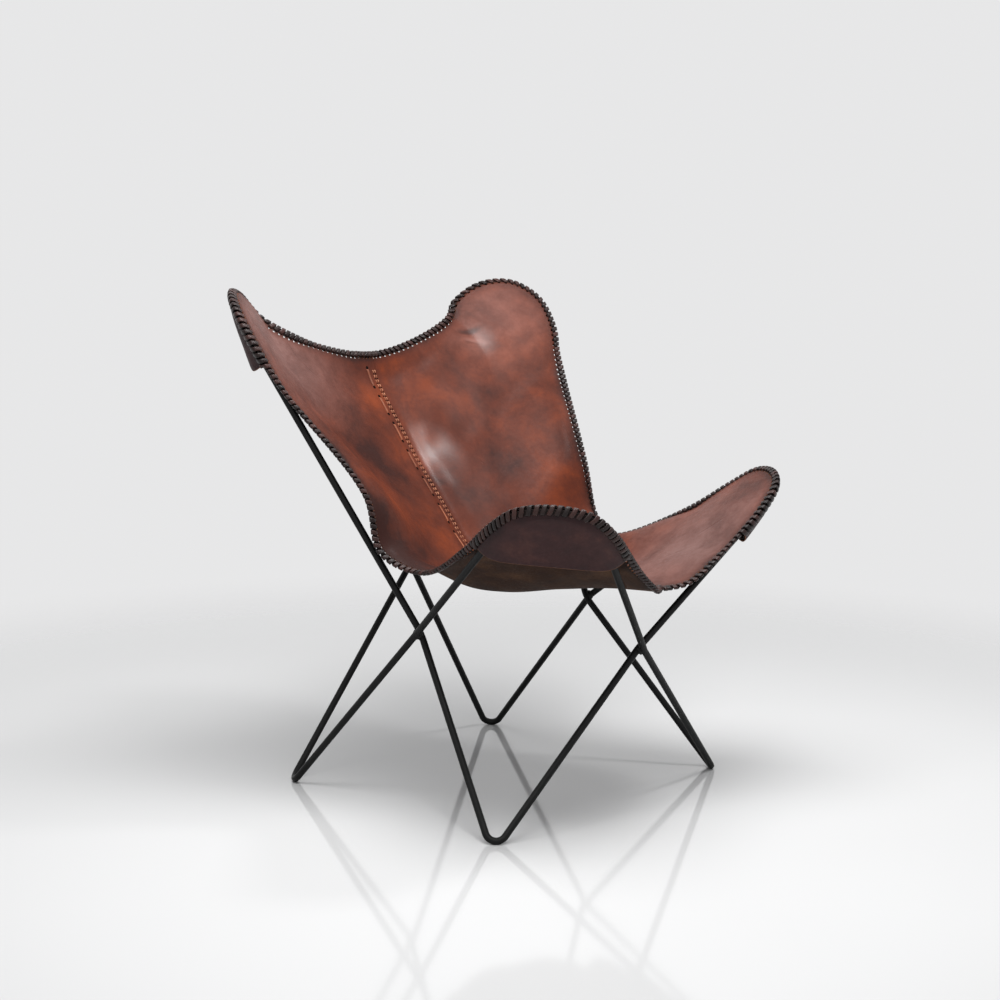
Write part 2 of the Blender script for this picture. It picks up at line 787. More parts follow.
    def band(self) -> EdgeBand:
        """Find what the edge lace lies against.

        Returns:
            The top of the panel and its underside, or the pocket's where there is one.
        """
        sling, sizes = self.sling, self.sling.sizes
        points = self.sheet.points
        top, top_in = points[self.ring[-1]].copy(), points[self.ring[0]].copy()

        def facing(rim: Array, inner: Array) -> Array:
            """Return the side of a strip that looks at the sitter."""
            along = np.gradient(rim, axis=0)
            return unit(np.cross(inner - rim, along) * (1 if self.sign < 0 else -1))
        normal = facing(top, top_in)
        drop = self.raise_at(self.seam_at)[:, None]
        low, low_in, low_normal = top - normal * drop, top_in - normal * drop, -normal
        for start, _, end in (FRONT_GRIP, BACK_GRIP):
            inside = (self.places >= start) & (self.places <= end)
            offset = -(sizes.pocket + sizes.gap) / 2
            p_rim = self.placed(sling.rim_of(self.places, offset), self.signed)
            p_in = self.placed(sling.inset(self.places, -sling.rod_under), self.signed)
            p_normal = -facing(p_rim, p_in)
            step = (sizes.leather - sizes.pocket) / 2
            low = np.where(inside[:, None], p_rim - p_normal * step, low)
            low_in = np.where(inside[:, None], p_in - p_normal * step, low_in)
            low_normal = np.where(inside[:, None], p_normal, low_normal)
        half = sizes.leather / 2
        return EdgeBand(top + normal * half, top_in + normal * half, normal,
                        low + low_normal * half, low_in + low_normal * half, low_normal)


@dataclass
class PocketShape:
    """One pocket: a sheet under the sling round a peak, with an open mouth where the rods go in."""

    sling: SlingShape
    name: str
    steps: int = 22
    across: int = 18
    taper: float = 1.5
    fullness: int = 8

    def __post_init__(self) -> None:
        """Lay the strip along the rim and the ladder between its sides."""
        sling, sizes = self.sling, self.sling.sizes
        hoop = 0 if self.name.startswith("front") else 1
        bend = sling.hoops[hoop][0]
        start, tip, end = (FRONT_GRIP, BACK_GRIP)[hoop]
        most_slack = (sizes.front_pocket_slack, sizes.back_pocket_slack)[hoop]
        before = np.linspace(start, tip, self.steps + 1)
        after = np.linspace(tip, end, self.steps + 1)[1:]
        places = np.concatenate([before, after])
        rim = sling.rim_of(places, -(sizes.pocket + sizes.gap) / 2)
        inner = sling.inset(places, -sling.rod_under)
        last, n = len(places) - 1, self.steps
        under = -bend.sitter
        mouth = unit((inner[0] + inner[last]) / 2 - inner[n])
        points = list(rim) + list(inner)
        rim_ids, inner_ids = list(range(last + 1)), list(range(last + 1, 2 * last + 2))
        shares = np.linspace(0, 1, self.across + 1)[1:-1]
        ladder: list[list[int]] = []
        for row in range(n):
            bulge = (1 - row / n) ** self.taper * (1 - (2 * shares - 1) ** self.fullness)
            line = mix(inner[row][None, :], inner[last - row][None, :], shares)
            line = line + bulge[:, None] * (under * most_slack + mouth * sizes.pocket_mouth_drop)
            first = len(points)
            points.extend(line)
            ladder.append([inner_ids[row], *range(first, first + len(shares)), inner_ids[last - row]])
        faces: list[Face] = []
        for one, other in zip(ladder, ladder[1:]):
            faces += [(a, b, d, c) for a, b, c, d in zip(other, other[1:], one, one[1:])]
        faces += [(b, a, inner_ids[n]) for a, b in zip(ladder[-1], ladder[-1][1:])]
        faces += [(rim_ids[i], rim_ids[i + 1], inner_ids[i + 1], inner_ids[i]) for i in range(last)]
        array = np.array(points)
        if self.name.endswith("right"):
            array = mirrored(array)
            faces = [face[::-1] for face in faces]
        gap = np.min(np.linalg.norm(array[:, None, :] - array[rim_ids][None, :, :], axis=2), axis=1)
        self.sheet = SheetMesh(array, faces, {"rim_gap": gap / MM_PER_METRE})


# ---------------- making Blender objects

DEPTH_SHIFT = 38.9822


def to_metres(points: Array) -> Array:
    """Put the shape code's millimetres into the frame's metres."""
    return (points + vec(0, DEPTH_SHIFT, 0)) / MM_PER_METRE


def make_object(name: str, mesh: bpy.types.ID) -> bpy.types.Object:
    """Link a new object that holds a mesh, a camera or a lamp, and return it."""
    made = bpy.data.objects.new(name, mesh)
    bpy.context.scene.collection.objects.link(made)
    return made


def sheet_object(name: str, sheet: SheetMesh, thickness: float,
                 materials: Sequence[Material]) -> bpy.types.Object:
    """Make a sheet of leather with its thickness.

    Args:
        name: the object's name.
        sheet: its points, faces and values, in millimetres.
        thickness: its thickness in millimetres.
        materials: the finish of its face, of its back and of its cut edge.

    Returns:
        The object, with live thickness and smoothing.
    """
    mesh = bpy.data.meshes.new(name)
    mesh.from_pydata(to_metres(sheet.points).tolist(), [], sheet.faces)
    for key, values in sheet.values.items():
        layer = mesh.attributes.new(key, "FLOAT", "POINT")
        layer.data.foreach_set("value", values.astype(np.float32))
    for material in materials:
        mesh.materials.append(material)
    mesh.shade_smooth()
    made = make_object(name, mesh)
    wall = made.modifiers.new("thickness", "SOLIDIFY")
    wall.thickness = thickness / MM_PER_METRE
    wall.offset = 0
    wall.material_offset = 1
    wall.material_offset_rim = 2
    soft = made.modifiers.new("smoothing", "SUBSURF")
    soft.levels = soft.render_levels = 1
    return made


class Profile(Enum):
    """Cross-sections that the sweep tree makes: how much of a round one is cut flat."""

    ROUND = 1.0
    LACE = 1.55


@dataclass
class Runs:
    """Lines to be swept, each with the way that its flat side faces and a tone of its own."""

    lines: list[Array] = field(default_factory=list)
    facings: list[Array] = field(default_factory=list)
    tones: list[float] = field(default_factory=list)

    def add(self, line: Array, facing: Array, tone: float = 0.5) -> None:
        """Add one line, with one facing for all its points or one for each."""
        self.lines.append(line)
        self.facings.append(np.broadcast_to(facing, line.shape))
        self.tones.append(tone)


class NodeTree:
    """A node tree with short ways to add and link nodes."""

    def __init__(self, tree: bpy.types.NodeTree) -> None:
        """Wrap a node tree."""
        self.tree = tree

    def node(self, kind: str, **settings: object) -> bpy.types.Node:
        """Add a node with its settings."""
        made = self.tree.nodes.new(kind)
        for key, value in settings.items():
            setattr(made, key, value)
        return made

    def made(self, kind: str, output: str | int, inputs: dict, **settings: object) -> Socket:
        """Add a node and return one of its outputs.

        Args:
            kind: the node's type.
            output: the output's name or number.
            inputs: what is fed to each input, by its name or number.
            settings: the node's own settings.

        Returns:
            The output.
        """
        node = self.node(kind, **settings)
        for key, source in inputs.items():
            self.feed(node.inputs[key], source)
        return node.outputs[output]

    def feed(self, target: Socket, source: object) -> None:
        """Link a socket to another, or set its value.

        Args:
            target: the socket that is fed.
            source: the other socket, or a plain value or colour.
        """
        if isinstance(source, Socket):
            self.tree.links.new(source, target)
        elif isinstance(source, tuple) and len(source) == 3 and target.type == "RGBA":
            target.default_value = (*source, 1.0)
        else:
            target.default_value = source

    def math(self, operation: str, one: object, other: object = 0.0, clamp: bool = False) -> Socket:
        """Return the result of a maths node."""
        return self.made("ShaderNodeMath", 0, {0: one, 1: other}, operation=operation, use_clamp=clamp)

    def weighted(self, *parts: tuple[Socket, float]) -> Socket:
        """Return the sum of values, each times its weight."""
        shares = [self.math("MULTIPLY", value, weight) for value, weight in parts]
        return reduce(lambda one, other: self.math("ADD", one, other), shares)

    def vector_math(self, operation: str, *values: object, output: str = "Vector") -> Socket:
        """Return the vector, or the Value, that a vector maths node works out."""
        return self.made("ShaderNodeVectorMath", output, dict(enumerate(values)), operation=operation)


class SweepTree(NodeTree):
    """Geometry Nodes tree that sweeps a flattened round profile along lines."""

    def __init__(self) -> None:
        """Build the tree once for all the pieces that use it."""
        super().__init__(bpy.data.node_groups.new("sweep_along_lines", "GeometryNodeTree"))
        io = self.tree.interface
        io.new_socket("Lines", in_out="INPUT", socket_type="NodeSocketGeometry")
        for name, default in (("Width", 0.01), ("Thickness", 0.002), ("Roundness", 1.0)):
            io.new_socket(name, in_out="INPUT", socket_type="NodeSocketFloat").default_value = default
        io.new_socket("Sides", in_out="INPUT", socket_type="NodeSocketInt").default_value = 10
        io.new_socket("Finish", in_out="INPUT", socket_type="NodeSocketMaterial")
        io.new_socket("Swept", in_out="OUTPUT", socket_type="NodeSocketGeometry")
        self.sockets = {item.name: item.identifier for item in io.items_tree if item.in_out == "INPUT"}
        start, end = self.node("NodeGroupInput"), self.node("NodeGroupOutput")
        facing = self.made("GeometryNodeInputNamedAttribute", "Attribute", {"Name": "facing"},
                           data_type="FLOAT_VECTOR")
        curve = self.made("GeometryNodeMeshToCurve", "Curve", {"Mesh": start.outputs["Lines"]})
        curve = self.made("GeometryNodeSetCurveNormal", "Curve", {"Curve": curve, "Normal": facing},
                          mode="FREE")
        swept = self.made("GeometryNodeCurveToMesh", "Mesh",
                          {"Curve": curve, "Profile Curve": self.profile(start), "Fill Caps": True})
        for kind in ("GeometryNodeSetShadeSmooth", "GeometryNodeRealizeInstances"):
            swept = self.made(kind, "Geometry", {"Geometry": swept})
        swept = self.made("GeometryNodeSetMaterial", "Geometry",
                          {"Geometry": swept, "Material": start.outputs["Finish"]})
        self.feed(end.inputs["Swept"], swept)

    def profile(self, start: bpy.types.Node) -> Socket:
        """Make the cross-section: a round one, cut flat on its two broad sides.

        Args:
            start: the tree's input node.

        Returns:
            The profile curve.
        """
        half_width, half_thickness = [self.math("MULTIPLY", start.outputs[name], 0.5)
                                      for name in ("Width", "Thickness")]
        grown = self.math("MULTIPLY", half_thickness, start.outputs["Roundness"])
        circle = self.made("GeometryNodeCurvePrimitiveCircle", "Curve",
                           {"Radius": 1.0, "Resolution": start.outputs["Sides"]})
        place = self.node("GeometryNodeInputPosition").outputs[0]
        sized = self.vector_math("MULTIPLY", place, self.joined(grown, half_width))
        limit = self.joined(half_thickness, half_width)
        upper = self.vector_math("MINIMUM", sized, limit)
        lower = self.vector_math("MAXIMUM", upper, self.vector_math("MULTIPLY", limit, (-1.0, -1.0, -1.0)))
        return self.made("GeometryNodeSetPosition", "Geometry", {"Geometry": circle, "Position": lower})

    def joined(self, x: Socket, y: Socket) -> Socket:
        """Return a flat vector of two values."""
        return self.made("ShaderNodeCombineXYZ", "Vector", {"X": x, "Y": y})

    def sweep(self, name: str, runs: Runs, width: float, thickness: float, profile: Profile, sides: int,
              finish: Material) -> bpy.types.Object:
        """Sweep a profile along lines and return a plain mesh object.

        Args:
            name: the object's name.
            runs: the lines, in millimetres.
            width: the profile's width in millimetres.
            thickness: its thickness along the facing, in millimetres.
            profile: its cross-section.
            sides: how many sides it has.
            finish: the material.

        Returns:
            The object, with its tree applied.
        """
        points = to_metres(np.vstack(runs.lines))
        edges, first = [], 0
        for line in runs.lines:
            edges += [(first + i, first + i + 1) for i in range(len(line) - 1)]
            first += len(line)
        mesh = bpy.data.meshes.new(name + "_lines")
        mesh.from_pydata(points.tolist(), edges, [])
        facing = mesh.attributes.new("facing", "FLOAT_VECTOR", "POINT")
        facing.data.foreach_set("vector", np.vstack(runs.facings).astype(np.float32).ravel())
        tone = mesh.attributes.new("tone", "FLOAT", "POINT")
        tones = np.repeat(runs.tones, [len(line) for line in runs.lines])
        tone.data.foreach_set("value", tones.astype(np.float32))
        carrier = make_object(name + "_carrier", mesh)
        modifier = carrier.modifiers.new("sweep", "NODES")
        modifier.node_group = self.tree
        values = {"Width": width / MM_PER_METRE, "Thickness": thickness / MM_PER_METRE,
                  "Roundness": profile.value, "Sides": sides, "Finish": finish}
        for key, value in values.items():
            modifier[self.sockets[key]] = value
        graph = bpy.context.evaluated_depsgraph_get()
        plain = bpy.data.meshes.new_from_object(carrier.evaluated_get(graph), depsgraph=graph)
        plain.name = name
        bpy.data.objects.remove(carrier)
        if not plain.materials:
            plain.materials.append(finish)
        return make_object(name, plain)


# ---------------- finishes

class ShaderTree(NodeTree):
    """A shader node tree with short ways to add masks, colours and patterns."""

    def step(self, value: Socket, low: float, high: float, out_low: float = 0.0,
             out_high: float = 1.0) -> Socket:
        """Ease a value from one level to another.

        Args:
            value: the value.
            low: where the step starts.
            high: where it ends.
            out_low: the level below it.
            out_high: the level above it.

        Returns:
            The level.
        """
        levels = {"Value": value, "From Min": low, "From Max": high, "To Min": out_low, "To Max": out_high}
        return self.made("ShaderNodeMapRange", "Result", levels, interpolation_type="SMOOTHSTEP")

    def blend(self, share: object, one: object, other: object) -> Socket:
        """Return a mix of two colours, by the share of the second."""
        # The node's sockets for numbers, vectors and colours share their names, so these go by number.
        return self.made("ShaderNodeMix", 2, {"Factor": share, 6: one, 7: other}, data_type="RGBA",
                         blend_type="MIX")

    def noise(self, vector: Socket, scale: object, detail: float = 3.0, rough: float = 0.55,
              warp: float = 0.0) -> Socket:
        """Return a noise value from 0 to 1, at a scale in cells to a metre."""
        return self.made("ShaderNodeTexNoise", "Fac", {"Vector": vector, "Scale": scale, "Detail": detail,
                                                       "Roughness": rough, "Distortion": warp})

    def cells(self, vector: Socket, scale: object) -> Socket:
        """Return the distance to the middle of the nearest cell of a pattern."""
        return self.made("ShaderNodeTexVoronoi", "Distance", {"Vector": vector, "Scale": scale}, feature="F1")

    def value_of(self, name: str) -> Socket:
        """Return the piece's own attribute."""
        return self.made("ShaderNodeAttribute", "Fac", {}, attribute_name=name)


class EffectGroup(ShaderTree):
    """A shader node group with named inputs and outputs."""

    def __init__(self, name: str, inputs: dict[str, float | None], outputs: Sequence[str]) -> None:
        """Make the group's sockets.

        Args:
            name: the group's name.
            inputs: a default for each input; None is a vector.
            outputs: the names of the values that it puts out.
        """
        super().__init__(bpy.data.node_groups.new(name, "ShaderNodeTree"))
        io = self.tree.interface
        for key, default in inputs.items():
            kind = "Vector" if default is None else "Float"
            made = io.new_socket(key, in_out="INPUT", socket_type=f"NodeSocket{kind}")
            if default is not None:
                made.default_value = default
        for key in outputs:
            io.new_socket(key, in_out="OUTPUT", socket_type="NodeSocketFloat")
        self.start, self.end = self.node("NodeGroupInput").outputs, self.node("NodeGroupOutput").inputs

    def placed_in(self, tree: ShaderTree, **values: object) -> dict[str, Socket]:
        """Place the group in a material, with values by its inputs' names, and return its outputs."""
        made = tree.node("ShaderNodeGroup", node_tree=self.tree)
        for key, value in values.items():
            tree.feed(made.inputs[key], value)
        return {output.name: output for output in made.outputs}


@dataclass
class Effects:
    """The node groups that several finishes share: leather grain, cloudy colour and rubbed wear."""

    pore_scale: float = 2600.0
    scratch_scale: float = 420.0
    scratch_stretch: Place = (1.0, 0.16, 0.3)
    scratch_turn: Place = (0.3, 0.5, 0.7)
    scratch_levels: tuple[float, float] = (0.70, 0.76)
    pebble_levels: tuple[float, ...] = (0.1, 0.75, 1.0, 0.0)
    pore_levels: tuple[float, float] = (0.3, 0.6)
    pebble_share: float = 0.6
    pore_share: float = 0.4
    cloud_scales: tuple[float, float] = (3.4, 16.0)
    cloud_shares: Place = (0.62, 0.28, 0.10)
    least_wear: float = 0.78
    wear_range: float = 0.4
    wear_sharpness: float = 6.0

    def __post_init__(self) -> None:
        """Build each group once."""
        self.grain = self.make_grain()
        self.clouds = self.make_clouds()
        self.wear = self.make_wear()

    def make_grain(self) -> EffectGroup:
        """Make fine leather grain: pebbles, pores and short scratches.

        Returns:
            The group. Its marks are the scratches alone.
        """
        group = EffectGroup("leather_grain", {"Vector": None, "Pebble": 700.0, "Scratch": 0.5},
                            ("Height", "Marks"))
        vector = group.start["Vector"]
        pebbles = group.step(group.cells(vector, group.start["Pebble"]), *self.pebble_levels)
        pores = group.step(group.noise(vector, self.pore_scale, detail=2.0), *self.pore_levels)
        stretched = group.made("ShaderNodeMapping", "Vector", {
            "Vector": vector, "Scale": self.scratch_stretch, "Rotation": self.scratch_turn})
        streaks = group.noise(stretched, self.scratch_scale, detail=2.0, rough=0.6, warp=0.4)
        scratch = group.math("MULTIPLY", group.step(streaks, *self.scratch_levels), group.start["Scratch"])
        height = group.weighted((pebbles, self.pebble_share), (pores, self.pore_share))
        group.feed(group.end["Height"], group.math("SUBTRACT", height, scratch))
        group.feed(group.end["Marks"], scratch)
        return group

    def make_clouds(self) -> EffectGroup:
        """Make the cloudy mask of an antiqued hide.

        Returns:
            The group. Its mask goes from 0, pale, to 1, dark.
        """
        group = EffectGroup("hide_clouds", {"Vector": None, "Size": 9.0, "Contrast": 1.0},
                            ("Mask", "Fine"))
        vector, size = group.start["Vector"], group.start["Size"]
        mid_size, fine_size = [group.math("MULTIPLY", size, scale) for scale in self.cloud_scales]
        wide = group.noise(vector, size, detail=4.0, rough=0.6, warp=0.5)
        mid = group.noise(vector, mid_size, detail=4.0, rough=0.65, warp=0.3)
        fine = group.noise(vector, fine_size, detail=5.0, rough=0.7)
        total = group.weighted(*zip((wide, mid, fine), self.cloud_shares))
        centred = group.math("MULTIPLY", group.math("SUBTRACT", total, 0.5), group.start["Contrast"])
        group.feed(group.end["Mask"], group.step(group.math("ADD", centred, 0.5), 0.0, 1.0))
        group.feed(group.end["Fine"], fine)
        return group

    def make_wear(self) -> EffectGroup:
        """Make a mask of rubbed spots, broken up by noise.

        Returns:
            The group.
        """
        group = EffectGroup("rubbed_wear", {"Vector": None, "Size": 60.0, "Amount": 0.5}, ("Mask",))
        patches = group.noise(group.start["Vector"], group.start["Size"], detail=5.0, rough=0.7)
        gain = group.math("MULTIPLY", group.start["Amount"], self.wear_range)
        lifted = group.math("SUBTRACT", patches, group.math("SUBTRACT", self.least_wear, gain))
        group.feed(group.end["Mask"], group.math("MULTIPLY", lifted, self.wear_sharpness, clamp=True))
        return group


RIM_STAIN = (0.010, 0.0060, 0.0050)
ROSE_BLOOM = (0.270, 0.120, 0.097)
GREY_BLOOM = (0.225, 0.130, 0.117)


class Spots(Enum):
    """Spots of the hide, each with a centre and a reach in metres, and an amount."""

    def near(self, tree: ShaderTree, place: Socket) -> Socket:
        """Return this spot's amount, which fades to nothing at its reach."""
        centre, reach, amount = self.value
        return tree.step(tree.vector_math("DISTANCE", place, centre, output="Value"), 0.0, reach, amount, 0.0)


class Patina(Spots):
    """Where the hide is paler or darker than its clouds make it."""

    TOP_GLOW = ((0.101, 0.335, 0.718), 0.14, -0.06)
    SEAM_HIGH_GLOW = ((-0.052, 0.31, 0.678), 0.077, -0.34)
    SEAM_MID_GLOW = ((-0.050, 0.235, 0.58), 0.077, -0.34)
    SEAM_LOW_GLOW = ((-0.055, 0.16, 0.495), 0.085, -0.36)
    SEAM_FOOT_GLOW = ((-0.07, 0.075, 0.42), 0.095, -0.42)
    TIP_GLOW = ((0.299, 0.264, 0.742), 0.126, -0.28)
    SIDE_GLOW = ((0.211, 0.09, 0.508), 0.077, -0.12)
    CENTRE_SHADE = ((0.235, 0.254, 0.661), 0.119, 0.26)
    LOW_SHADE = ((0.034, 0.162, 0.483), 0.112, 0.16)
    SIDE_SHADE = ((0.194, 0.161, 0.549), 0.084, 0.22)
    BACK_SHADE = ((-0.115, 0.23, 0.59), 0.135, 0.36)
    SEAT_SHADE = ((-0.267, 0.04, 0.449), 0.154, 0.58)
    FRONT_SHADE = ((0.15, -0.302, 0.444), 0.126, 0.12)
    SIDE_RIM_SHADE = ((0.293, 0.111, 0.590), 0.085, 0.30)


class Bloom(Spots):
    """Where a pale wax bloom lies on the hide."""

    BACK_LEFT = ((-0.245, 0.352, 0.795), 0.25, 0.92)
    BACK_RIGHT = ((0.305, 0.318, 0.805), 0.165, 0.64)
    FRONT_LEFT = ((-0.16, -0.30, 0.452), 0.26, 0.50)
    FRONT_RIGHT = ((0.150, -0.30, 0.446), 0.30, 0.85)

    @property
    def tint(self) -> Colour:
        """Return the colour of this bloom."""
        return ROSE_BLOOM if self is Bloom.BACK_RIGHT else GREY_BLOOM


class Polish(Spots):
    """Where the hide is rubbed glossy, with a coat of its own."""

    BACK_RUB = ((0.038, 0.235, 0.571), 0.085, 0.52)
    NECK_RUB = ((0.2575, 0.3187, 0.7697), 0.050, 0.42)


CREASE_DEPTH = 3.5


class Crease(Enum):
    """Creases, dents and scratches of the hide.

    Each has a middle, a way, a half length and a half width in metres, and a height.
    """

    NECK_FOLD = ((0.2575, 0.3187, 0.7697), (0.059, -0.053, -0.016), 0.044, 0.010, 34.0)
    NECK_DENT = ((0.2543, 0.3381, 0.7915), (0.071, -0.034, 0.012), 0.042, 0.0085, -34.0)
    NECK_WRINKLE = ((0.247, 0.3225, 0.7632), (0.040, -0.027, -0.007), 0.026, 0.0045, -18.0)
    BACK_SCRATCH = ((0.1266, 0.1919, 0.5516), (0.004, -0.01, 0.02), 0.009, 0.0020, -10.0)
    SEAT_SCRATCH = ((0.0993, 0.1553, 0.5030), (0.012, 0.0, 0.012), 0.008, 0.0020, -10.0)
    WING_CREASE = ((-0.2112, 0.3449, 0.7702), (0.002, -0.036, -0.043), 0.034, 0.0030, -12.0)
    WING_CREASE_LOW = ((-0.1959, 0.3237, 0.7390), (0.035, -0.020, -0.037), 0.032, 0.0030, -11.0)
    WING_CREASE_TIP = ((-0.2710, 0.3471, 0.8110), (0.056, 0.017, -0.035), 0.040, 0.0030, -11.0)
    FRONT_CREASE = ((0.1963, -0.2855, 0.4723), (0.037, -0.059, 0.047), 0.042, 0.0034, -12.0)
    FRONT_CREASE_LOW = ((0.1405, -0.2563, 0.4296), (0.032, -0.073, 0.035), 0.044, 0.0032, -12.0)

    def height(self, tree: ShaderTree, place: Socket) -> Socket:
        """Fade this mark's height to nothing at its ends and sides.

        Args:
            tree: the tree to build in.
            place: the coordinates.

        Returns:
            The height.
        """
        middle, way, half_length, half_width, rise = self.value
        local = tree.made("ShaderNodeMapping", "Vector", {
            "Vector": place, "Location": middle, "Rotation": Vector(way).to_track_quat("X", "Z").to_euler(),
            "Scale": (half_length, half_width, half_width * CREASE_DEPTH)}, vector_type="TEXTURE")
        return tree.step(tree.vector_math("LENGTH", local, output="Value"), 0.0, 1.0, rise, 0.0)


@dataclass(frozen=True)
class Finish:
    """A finish: its sheen and roughness, with the colours between which it varies."""

    name: str
    pale: Colour
    mid: Colour
    dark: Colour
    roughness: float = 0.5
    coat: float = 0.0
    coat_roughness: float = 0.3
    specular: float = 0.5
    bump: float = 0.2
    bump_depth: float = 0.0004
    pale_until: float = 0.05
    mid_at: float = 0.45
    dark_from: float = 0.95
    fine_levels: tuple[float, float] = (0.3, 0.7)
    smoother: float = 0.06
    rougher: float = 0.08
    wear_rougher: float = 0.1

    def make(self, effects: Effects) -> Material:
        """Make the material.

        Args:
            effects: the shared node groups.

        Returns:
            The material.
        """
        material = bpy.data.materials.new(self.name)
        material.use_nodes = True
        tree = ShaderTree(material.node_tree)
        shader = material.node_tree.nodes["Principled BSDF"]
        for name, value in (("Roughness", self.roughness), ("Coat Weight", self.coat),
                            ("Coat Roughness", self.coat_roughness), ("Specular IOR Level", self.specular)):
            shader.inputs[name].default_value = value
        self.dress(tree, shader, tree.node("ShaderNodeTexCoord").outputs["Object"], effects)
        return material

    def dress(self, tree: ShaderTree, shader: bpy.types.Node, place: Socket, effects: Effects) -> None:
        """Feed the shader what varies over the surface. Each kind of finish does this in its own way.

        Args:
            tree: the material's tree.
            shader: its shader.
            place: the object's own coordinates.
            effects: the shared node groups.
        """
        raise NotImplementedError(self.name)

    def roughen(self, tree: ShaderTree, shader: bpy.types.Node, fine: Socket,
                wear: Socket | None = None) -> None:
        """Vary the roughness by fine clouds and rubbed spots.

        Args:
            tree: the material's tree.
            shader: its shader.
            fine: the fine clouds.
            wear: the rubbed spots, where it has them.
        """
        rough = tree.step(fine, *self.fine_levels, self.roughness - self.smoother,
                          self.roughness + self.rougher)
        if wear is not None:
            rough = tree.math("ADD", rough, tree.math("MULTIPLY", wear, self.wear_rougher))
        tree.feed(shader.inputs["Roughness"], rough)

    def ramp(self, tree: ShaderTree, mask: Socket) -> Socket:
        """Vary the colour by a mask.

        Args:
            tree: the tree to build in.
            mask: from 0, pale, to 1, dark.

        Returns:
            The colour.
        """
        ramp = tree.node("ShaderNodeValToRGB")
        elements = ramp.color_ramp.elements
        elements[0].position, elements[0].color = self.pale_until, (*self.pale, 1.0)
        elements[1].position, elements[1].color = self.dark_from, (*self.dark, 1.0)
        elements.new(self.mid_at).color = (*self.mid, 1.0)
        tree.feed(ramp.inputs["Fac"], mask)
        return ramp.outputs["Color"]

    def raise_by(self, tree: ShaderTree, shader: bpy.types.Node, height: Socket) -> None:
        """Feed a height to the shader's normal."""
        bumps = {"Strength": self.bump, "Distance": self.bump_depth, "Height": height}
        tree.feed(shader.inputs["Normal"], tree.made("ShaderNodeBump", "Normal", bumps))


